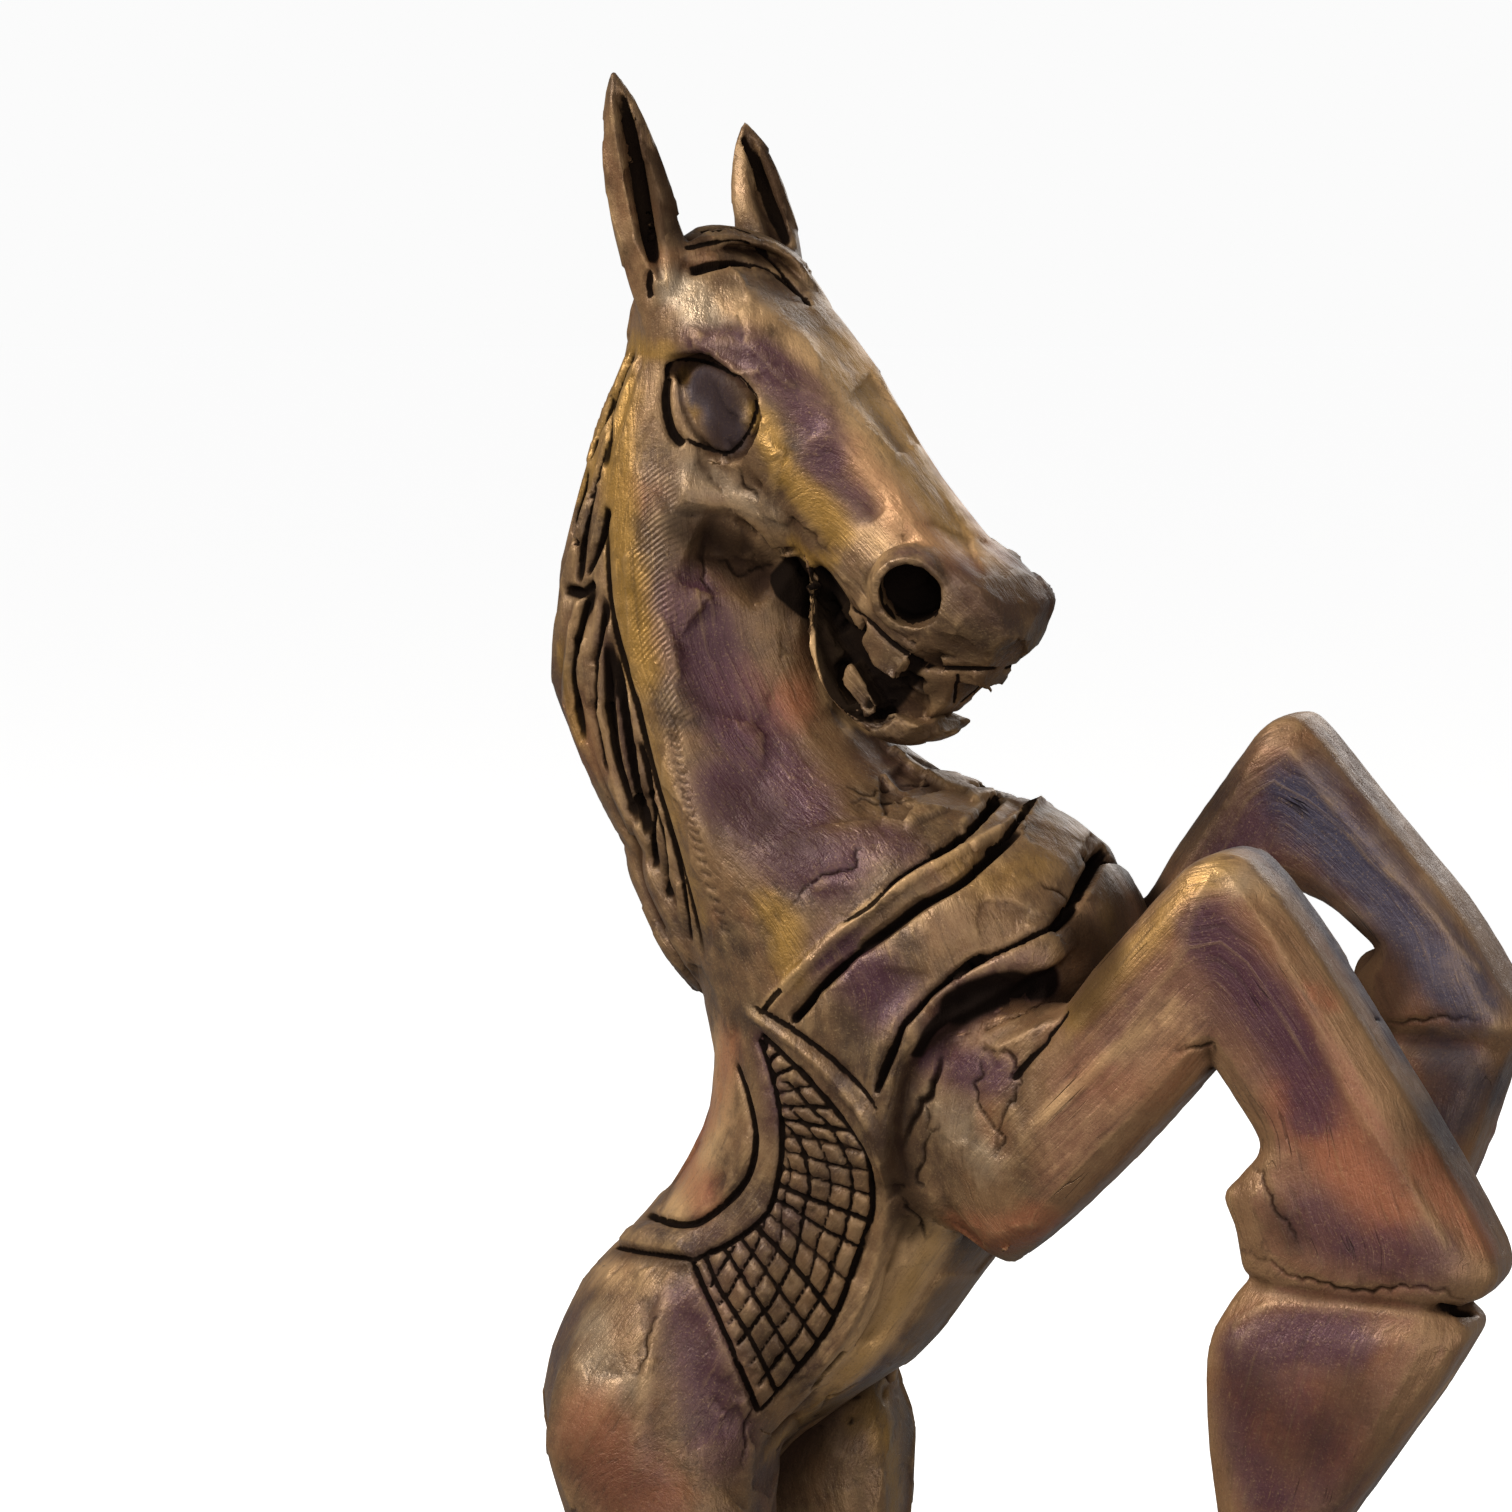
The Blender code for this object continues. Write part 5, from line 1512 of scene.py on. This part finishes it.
def mark_surface(work, limbs):
    """Recesses and edges everywhere, and the flat and the bevelled sides of the limbs."""
    fine = ((neighbour_mean(work.points, work.edges, len(work.points)) - work.points) * work.normals).sum(1)
    fine = smooth(fine[:, None], work.edges, 2, 0.7)[:, 0]
    broad = ((centroids(work.points, 2.2 * MM) - work.points) * work.normals).sum(1)
    # Chamfers take a lighter tone than the flat sides, partly painted light
    side_on = smoothstep(0.88, 0.97, np.abs(work.normals[:, 1]))
    work.masks["flank"], work.masks["bevel_tone_and_light"] = limbs * side_on, limbs * (1 - side_on)
    # Recesses get darker: wax gathered in them, and painted shade
    work.masks["recess_wax_and_shade"] = np.clip(broad / (0.9 * MM), 0, 1)
    work.masks["edge"] = np.clip(-broad / (1.1 * MM), 0, 1) * 0.6 + np.clip(-fine / (0.05 * MM), 0, 1) * 0.4


# Of the triangles left, the share that deep cuts may keep, and the least mask that counts as one
CUTS_SHARE, LEAST_CUT = 0.16, 0.2
# How freely other points, and the points of cuts, may be merged
FREE, HELD = 1.0, 0.9


def thin(thing, most, keep):
    """Thin the mesh to a number of triangles, last of all where keep is greatest."""
    triangles = sum(len(p.vertices) - 2 for p in thing.data.polygons)
    if triangles > most:
        kept = np.argsort(-keep, kind="stable")[:int(CUTS_SHARE * most)]
        kept = kept[keep[kept] > LEAST_CUT]
        free = np.setdiff1d(np.arange(len(keep)), kept)
        group = thing.vertex_groups.new(name="free")
        group.add(free.tolist(), FREE, "REPLACE")
        group.add(kept.tolist(), HELD, "REPLACE")
        step = thing.modifiers.new("thin", "DECIMATE")
        step.ratio = most / triangles
        step.vertex_group = "free"
        step.vertex_group_factor = 1.0
        apply_modifiers(thing)
        thing.vertex_groups.clear()


def write_mask(mesh, name, values):
    mesh.attributes.new(name, "FLOAT", "POINT").data.foreach_set("value", values.astype(np.float32))


def carry_masks(carving, mesh):
    """Give the thinned mesh the masks of the nearest dense points."""
    tree = KDTree(len(carving.points))
    for k, point in enumerate(carving.points.tolist()):
        tree.insert(point, k)
    tree.balance()
    nearest = np.array([tree.find(point)[1] for point in points_of(mesh).tolist()])
    for name, values in carving.masks.items():
        write_mask(mesh, name, values[nearest])


def bones():
    """The middle line of each form, with about how far the form reaches from it."""
    def middles(rows, side=0):
        return [
            place((a + c) / 2, side * (rest[0] if side else 0), (b + d) / 2)
            for a, b, c, d, *rest in rows
        ]

    yield [on_head(-2, -2.5, 0), on_head(8, -2.5, 0), on_head(16, -1.5, 0), on_head(23, -0.5, 0)], 4.6
    yield middles(SPINE), 8.0
    yield middles(RIGHT_FORELEG[3:], RIGHT), 3.6
    yield middles(LEFT_FORELEG[3:], LEFT), 3.6
    yield middles(RIGHT_HIND_LEG[3:], RIGHT), 4.0
    yield middles(LEFT_HIND_LEG[3:], LEFT), 4.0
    yield middles(TAIL[1:]), 3.0


def flow(points):
    """Coordinates that run along each limb: how far along it, above it and beside it, in metres."""
    total, weights = np.zeros((len(points), 3)), np.zeros(len(points))
    for line, reach in bones():
        line = np.array(line)
        best, found = np.full(len(points), np.inf), np.zeros((len(points), 3))
        passed = 0.0
        for a, b in zip(line[:-1], line[1:]):
            run = b - a
            length = np.linalg.norm(run)
            t = np.clip((points - a) @ run / length**2, 0, 1)
            away = points - a - t[:, None] * run
            distance = np.linalg.norm(away, axis=1)
            up = np.cross(run / length, (0.0, 1.0, 0.0))
            aside = np.cross(run / length, up)
            closer = distance < best
            here = np.stack([passed + (points - a) @ run / length, away @ up, away @ aside], 1)
            found[closer] = here[closer]
            best[closer] = distance[closer]
            passed += length
        weight = np.exp(-9 * best / (reach * UNIT)) + 1e-12
        total += found * weight[:, None]
        weights += weight
    return total / weights[:, None]


# Materials

class Shader:
    """A material's nodes, written as sums of small steps."""

    def __init__(self, name):
        self.material = bpy.data.materials.new(name)
        self.material.use_nodes = True
        self.tree = self.material.node_tree
        self.surface = self.tree.nodes["Principled BSDF"]

    def node(self, kind, inputs, output=0, **settings):
        made = self.tree.nodes.new(kind)
        for key, value in settings.items():
            setattr(made, key, value)
        for key, value in inputs.items():
            socket = made.inputs[key]
            if isinstance(value, bpy.types.NodeSocket):
                self.tree.links.new(value, socket)
            elif isinstance(value, tuple) and len(value) == 3 and socket.type == "RGBA":
                socket.default_value = (*value, 1)
            else:
                socket.default_value = value
        return made.outputs[output]

    def read(self, name, vector=False):
        return self.node("ShaderNodeAttribute", {}, "Vector" if vector else "Fac", attribute_name=name)

    def math(self, operation, a, b=0.0, clamp=False):
        return self.node("ShaderNodeMath", {0: a, 1: b}, operation=operation, use_clamp=clamp)

    def times(self, a, b, clamp=False):
        return self.math("MULTIPLY", a, b, clamp)

    def plus(self, a, b, clamp=False):
        return self.math("ADD", a, b, clamp)

    def minus(self, a, b, clamp=False):
        return self.math("SUBTRACT", a, b, clamp)

    def stretch(self, vector, scale):
        return self.node("ShaderNodeVectorMath", {0: vector, 1: scale}, operation="MULTIPLY")

    def noise(self, vector, scale, detail=3.0, roughness=0.55, distortion=0.0):
        return self.node("ShaderNodeTexNoise", {
            "Vector": vector, "Scale": scale, "Detail": detail, "Roughness": roughness,
            "Distortion": distortion,
        }, "Fac")

    def remap(self, value, low, high, to_low=0.0, to_high=1.0):
        return self.node("ShaderNodeMapRange", {
            "Value": value, "From Min": low, "From Max": high, "To Min": to_low, "To Max": to_high,
        }, interpolation_type="SMOOTHSTEP")

    def blend(self, share, a, b, mode="MIX"):
        made = self.tree.nodes.new("ShaderNodeMix")
        made.data_type = "RGBA"
        made.blend_type = mode
        made.clamp_factor = True
        for socket, value in ((made.inputs[0], share), (made.inputs[6], a), (made.inputs[7], b)):
            if isinstance(value, bpy.types.NodeSocket):
                self.tree.links.new(value, socket)
            else:
                socket.default_value = (*value, 1) if isinstance(value, tuple) else value
        return made.outputs[2]

    def lay(self, mask, grain, amount, softness=0.45):
        """A painted mask whose border breaks up along the grain."""
        broken = self.plus(mask, self.times(self.minus(grain, 0.5), amount))
        return self.remap(broken, 0.5 - softness, 0.5 + softness)

    def bump(self, height, distance, strength, under=None):
        inputs = {"Height": height, "Distance": distance, "Strength": strength}
        if under is not None:
            inputs["Normal"] = under
        return self.node("ShaderNodeBump", inputs)

    def finish(self, colour, roughness, normal, metallic=None):
        sockets = {"Base Color": colour, "Roughness": roughness, "Normal": normal, "Metallic": metallic}
        for name, value in sockets.items():
            if value is not None:
                self.tree.links.new(value, self.surface.inputs[name])
        return self.material


# The patina, with painted highlights and painted shade in its colour
def patina():
    m = Shader("patina")
    spot = m.node("ShaderNodeTexCoord", {}, "Object")
    along_form = m.read("flow", vector=True)
    streak = m.noise(m.stretch(along_form, (28, 420, 420)), 1.0, 4.0, 0.6, 0.4)
    hair = m.noise(m.stretch(along_form, (160, 1900, 1900)), 1.0, 2.0, 0.6)
    cloud = m.noise(spot, 38.0, 4.0, 0.6, 0.6)
    mottle = m.noise(spot, 170.0, 4.0, 0.65)
    speck = m.noise(spot, 1900.0, 2.0, 0.6)
    plum_cloud = m.noise(spot, 21.0, 3.0, 0.55)
    copper_cloud = m.noise(spot, 27.0, 3.0, 0.55, 0.5)
    ragged = m.plus(m.plus(m.times(mottle, 0.4), m.times(streak, 0.25)), m.times(cloud, 0.35))
    flank, bevel_tone_and_light, umber_and_shade = m.read("flank"), m.read("bevel_tone_and_light"), m.read("umber_and_shade")
    recess_wax_and_shade, crack = m.read("recess_wax_and_shade"), m.read("crack")

    # Wax, then faint plum and copper everywhere
    colour = m.blend(m.remap(cloud, 0.32, 0.68), (0.055, 0.031, 0.018), (0.15, 0.082, 0.039))
    for share, tint in (
        (m.remap(mottle, 0.42, 0.75, 0, 0.5), (0.17, 0.108, 0.05)),
        (m.times(flank, 0.75), (0.175, 0.078, 0.048)),
        # Lighter chamfers, partly painted light
        (m.times(bevel_tone_and_light, 0.65), (0.225, 0.12, 0.06)),
        (m.remap(plum_cloud, 0.52, 0.68, 0, 0.6), (0.045, 0.02, 0.024)),
        (m.remap(copper_cloud, 0.56, 0.7, 0, 0.5), (0.17, 0.068, 0.028)),
    ):
        colour = m.blend(share, colour, tint)
    # The painted patches, among them painted highlights and painted shade
    for name, tint, amount in (
        ("tan", (0.48, 0.3, 0.145), 0.9),
        ("grey_highlight", (0.25, 0.195, 0.135), 0.75),
        ("copper", (0.23, 0.077, 0.037), 0.8),
        ("gold_and_highlight", (0.28, 0.155, 0.03), 0.8),
        ("plum", (0.05, 0.016, 0.03), 0.9),
        ("blue", (0.044, 0.043, 0.074), 0.92),
    ):
        colour = m.blend(m.times(m.lay(m.read(name), ragged, 1.5), amount), colour, tint)
    # Brushed streaks, darker and lighter, and light and dark specks of bronze dust, the light ones painted
    # glints too
    for pattern, low, high, most, tint in (
        (streak, 0.48, 0.25, 0.4, (0.026, 0.015, 0.01)),
        (streak, 0.56, 0.8, 0.3, (0.26, 0.165, 0.075)),
        (hair, 0.6, 0.8, 0.3, (0.28, 0.18, 0.085)),
        (speck, 0.56, 0.75, 0.35, (0.3, 0.2, 0.1)),
        (speck, 0.44, 0.28, 0.35, (0.03, 0.017, 0.011)),
    ):
        colour = m.blend(m.remap(pattern, low, high, 0, most), colour, tint)
    # Edges rubbed light, then dark patches, recesses, holes and cuts darkened, partly wax and partly painted
    # shade, and fine checks along the grain
    worn = m.times(m.read("edge"), m.remap(ragged, 0.35, 0.7), clamp=True)
    worn = m.times(worn, m.remap(umber_and_shade, 0.0, 0.9, 1.0, 0.1))
    hollow = m.plus(m.read("hollow"), m.times(m.minus(ragged, 0.5), 0.25))
    hollow = m.remap(hollow, 0.3, 0.62)
    line = m.math("ABSOLUTE", m.minus(m.noise(m.stretch(along_form, (7, 190, 190)), 1.0, 2.0, 0.5), 0.5))
    check = m.times(m.remap(line, 0.01, 0.0), m.remap(m.noise(spot, 46.0, 2.0), 0.57, 0.68))
    check = m.times(check, m.plus(flank, bevel_tone_and_light, clamp=True))
    for share, tint in (
        (m.times(worn, 0.8), (0.3, 0.19, 0.09)),
        (m.times(m.lay(umber_and_shade, ragged, 0.7), 0.8), (0.022, 0.013, 0.009)),
        (m.times(recess_wax_and_shade, 0.85), (0.016, 0.009, 0.007)),
        (m.times(hollow, 0.96), (0.005, 0.0035, 0.003)),
        (m.times(crack, 0.95), (0.006, 0.004, 0.003)),
        (m.times(check, 0.6), (0.01, 0.006, 0.004)),
    ):
        colour = m.blend(share, colour, tint)

    roughness = m.remap(mottle, 0.3, 0.7, 0.36, 0.52)
    roughness = m.plus(roughness, m.times(hollow, 0.35))
    roughness = m.plus(roughness, m.times(recess_wax_and_shade, 0.25))
    roughness = m.minus(roughness, m.times(m.read("grey_highlight"), 0.1), clamp=True)
    dull = m.math("MAXIMUM", m.math("MAXIMUM", hollow, crack), recess_wax_and_shade)
    dull = m.math("MAXIMUM", dull, m.times(umber_and_shade, 0.8))
    metallic = m.times(m.minus(1.0, dull, clamp=True), m.remap(m.read("gold_and_highlight"), 0, 1, 0.32, 0.5))
    m.tree.links.new(m.remap(dull, 0, 0.8, 0.32, 0.0), m.surface.inputs["Specular IOR Level"])

    rasp = m.node("ShaderNodeTexWave", {
        "Vector": m.stretch(along_form, (1.0, 0.75, 0.75)), "Scale": 400.0, "Distortion": 1.5, "Detail": 1.0,
    }, "Fac", bands_direction="DIAGONAL")
    normal = None
    for height, distance, strength in (
        (cloud, 0.0016, 0.35),
        (mottle, 0.0007, 0.5),
        (streak, 0.0006, 0.7),
        (hair, 0.00018, 0.6),
        (speck, 0.00022, 0.4),
        (m.times(rasp, m.read("rasp")), 0.0003, 0.6),
        (m.times(check, -1.0), 0.0006, 0.8),
    ):
        normal = m.bump(height, distance, strength, normal)
    return m.finish(colour, roughness, normal, metallic)


def base_wax():
    m = Shader("base_wax")
    spot = m.node("ShaderNodeTexCoord", {}, "Object")
    warp = m.noise(m.stretch(spot, (3, 14, 14)), 1.0, 2.0, 0.5)
    rings = m.node("ShaderNodeTexWave", {
        "Vector": m.stretch(spot, (0.12, 1.0, 1.0)), "Scale": 42.0, "Distortion": 5.0,
        "Detail": 2.5, "Detail Scale": 1.4,
    }, "Fac", wave_type="RINGS", rings_direction="X")
    pores = m.noise(m.stretch(spot, (60, 1300, 1300)), 1.0, 2.0, 0.6)
    mottle = m.noise(spot, 95.0, 4.0, 0.6)
    colour = m.blend(m.remap(rings, 0.15, 0.9), (0.062, 0.033, 0.018), (0.125, 0.07, 0.036))
    colour = m.blend(m.remap(warp, 0.4, 0.7, 0, 0.5), colour, (0.085, 0.04, 0.024))
    colour = m.blend(m.remap(mottle, 0.5, 0.75, 0, 0.4), colour, (0.2, 0.12, 0.055))
    colour = m.blend(m.remap(pores, 0.45, 0.25, 0, 0.75), colour, (0.018, 0.01, 0.007))
    roughness = m.remap(pores, 0.3, 0.7, 0.56, 0.48)
    m.surface.inputs["Specular IOR Level"].default_value = 0.3
    normal = m.bump(rings, 0.0004, 0.4)
    normal = m.bump(mottle, 0.0002, 0.3, normal)
    normal = m.bump(pores, 0.0003, 0.7, normal)
    return m.finish(colour, roughness, normal)


horse = build_forms()
work = Carving(horse)
blend_forms(work)
limbs = limb_share(work.points)
shape_neck_and_head(work)
cut_facets(work, limbs)
for carve in (cut_eyes, cut_mouth, cut_crown, cut_mane, part_hoof, sink_armholes, raise_ridges):
    carve(work)
work.settle()
for carve in (cut_straps, cut_saddle, hatch_saddle, cut_scallops, cut_cracks):
    carve(work)
work.settle()
roughen(work)
mark_holes(work)
paint_strokes(work)
mark_surface(work, limbs)

in_view = smoothstep(-0.1, 0.3, work.normals @ CAMERA_BACK)
cuts = np.maximum(work.masks["hollow"], 0.7 * work.masks["crack"])
thin(horse, MOST_TRIANGLES, cuts * (0.3 + 0.7 * in_view))
for polygon in horse.data.polygons:
    polygon.use_smooth = True
carry_masks(work, horse.data)
horse.data.attributes.new("flow", "FLOAT_VECTOR", "POINT").data.foreach_set(
    "vector", flow(points_of(horse.data)).astype(np.float32).ravel()
)
horse.data.materials.append(patina())
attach(horse, "root")
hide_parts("horse")
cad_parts["base"].data.materials.clear()
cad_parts["base"].data.materials.append(base_wax())


# Floor, light and camera

def area_light(name, place_at, look_at, size, power, colour):
    light = bpy.data.lights.new(name, "AREA")
    light.shape = "SQUARE"
    light.size = size
    light.energy = power
    light.color = colour
    made = new_object(name, light)
    made.location = place_at
    made.rotation_euler = (Vector(look_at) - Vector(place_at)).to_track_quat("-Z", "Y").to_euler()


bpy.ops.mesh.primitive_circle_add(vertices=96, radius=60, fill_type="NGON", location=(0, 0, 0))
floor = bpy.context.object
floor.name = "floor"
paper = Shader("floor_paper")
paper.surface.inputs["Base Color"].default_value = (0.82, 0.82, 0.82, 1)
paper.surface.inputs["Roughness"].default_value = 0.95
paper.surface.inputs["Emission Color"].default_value = (1, 1, 1, 1)
paper.surface.inputs["Emission Strength"].default_value = 0.75
floor.data.materials.append(paper.material)
floor.visible_diffuse = floor.visible_glossy = False

world = bpy.data.worlds.new("studio")
bpy.context.scene.world = world
world.use_nodes = True
nodes, links = world.node_tree.nodes, world.node_tree.links
nodes["Background"].inputs["Color"].default_value = (1, 1, 1, 1)
nodes["Background"].inputs["Strength"].default_value = 0.26
seen_sky = nodes.new("ShaderNodeBackground")
seen_sky.inputs["Color"].default_value = (1, 1, 1, 1)
seen_sky.inputs["Strength"].default_value = 0.965
which = nodes.new("ShaderNodeMixShader")
links.new(nodes.new("ShaderNodeLightPath").outputs["Is Camera Ray"], which.inputs[0])
links.new(nodes["Background"].outputs[0], which.inputs[1])
links.new(seen_sky.outputs[0], which.inputs[2])
links.new(which.outputs[0], nodes["World Output"].inputs[0])
area_light("key", (-1.15, -1.25, 1.75), (0, 0, 0.4), 0.7, 64, (1.0, 0.93, 0.82))
area_light("fill", (0.6, -2.1, 1.15), (0, 0, 0.4), 0.9, 15, (1.0, 0.96, 0.92))
area_light("bounce", (1.3, -1.4, 0.12), (0, 0, 0.35), 1.0, 17, (1.0, 0.9, 0.78))
area_light("far_fill", (0.2, 2.2, 1.3), (0, 0, 0.35), 1.2, 14, (1.0, 0.97, 0.93))

camera_data = bpy.data.cameras.new("photo_view")
camera_data.sensor_width = SENSOR_MM
camera_data.lens = FOCAL_PX / FRAME_PX * SENSOR_MM
camera = new_object("photo_view", camera_data)
camera.location = CAMERA_EYE
camera.rotation_euler = Vector(-CAMERA_BACK).to_track_quat("-Z", "Y").to_euler()
bpy.context.scene.camera = camera
bpy.context.scene.view_settings.view_transform = "Standard"
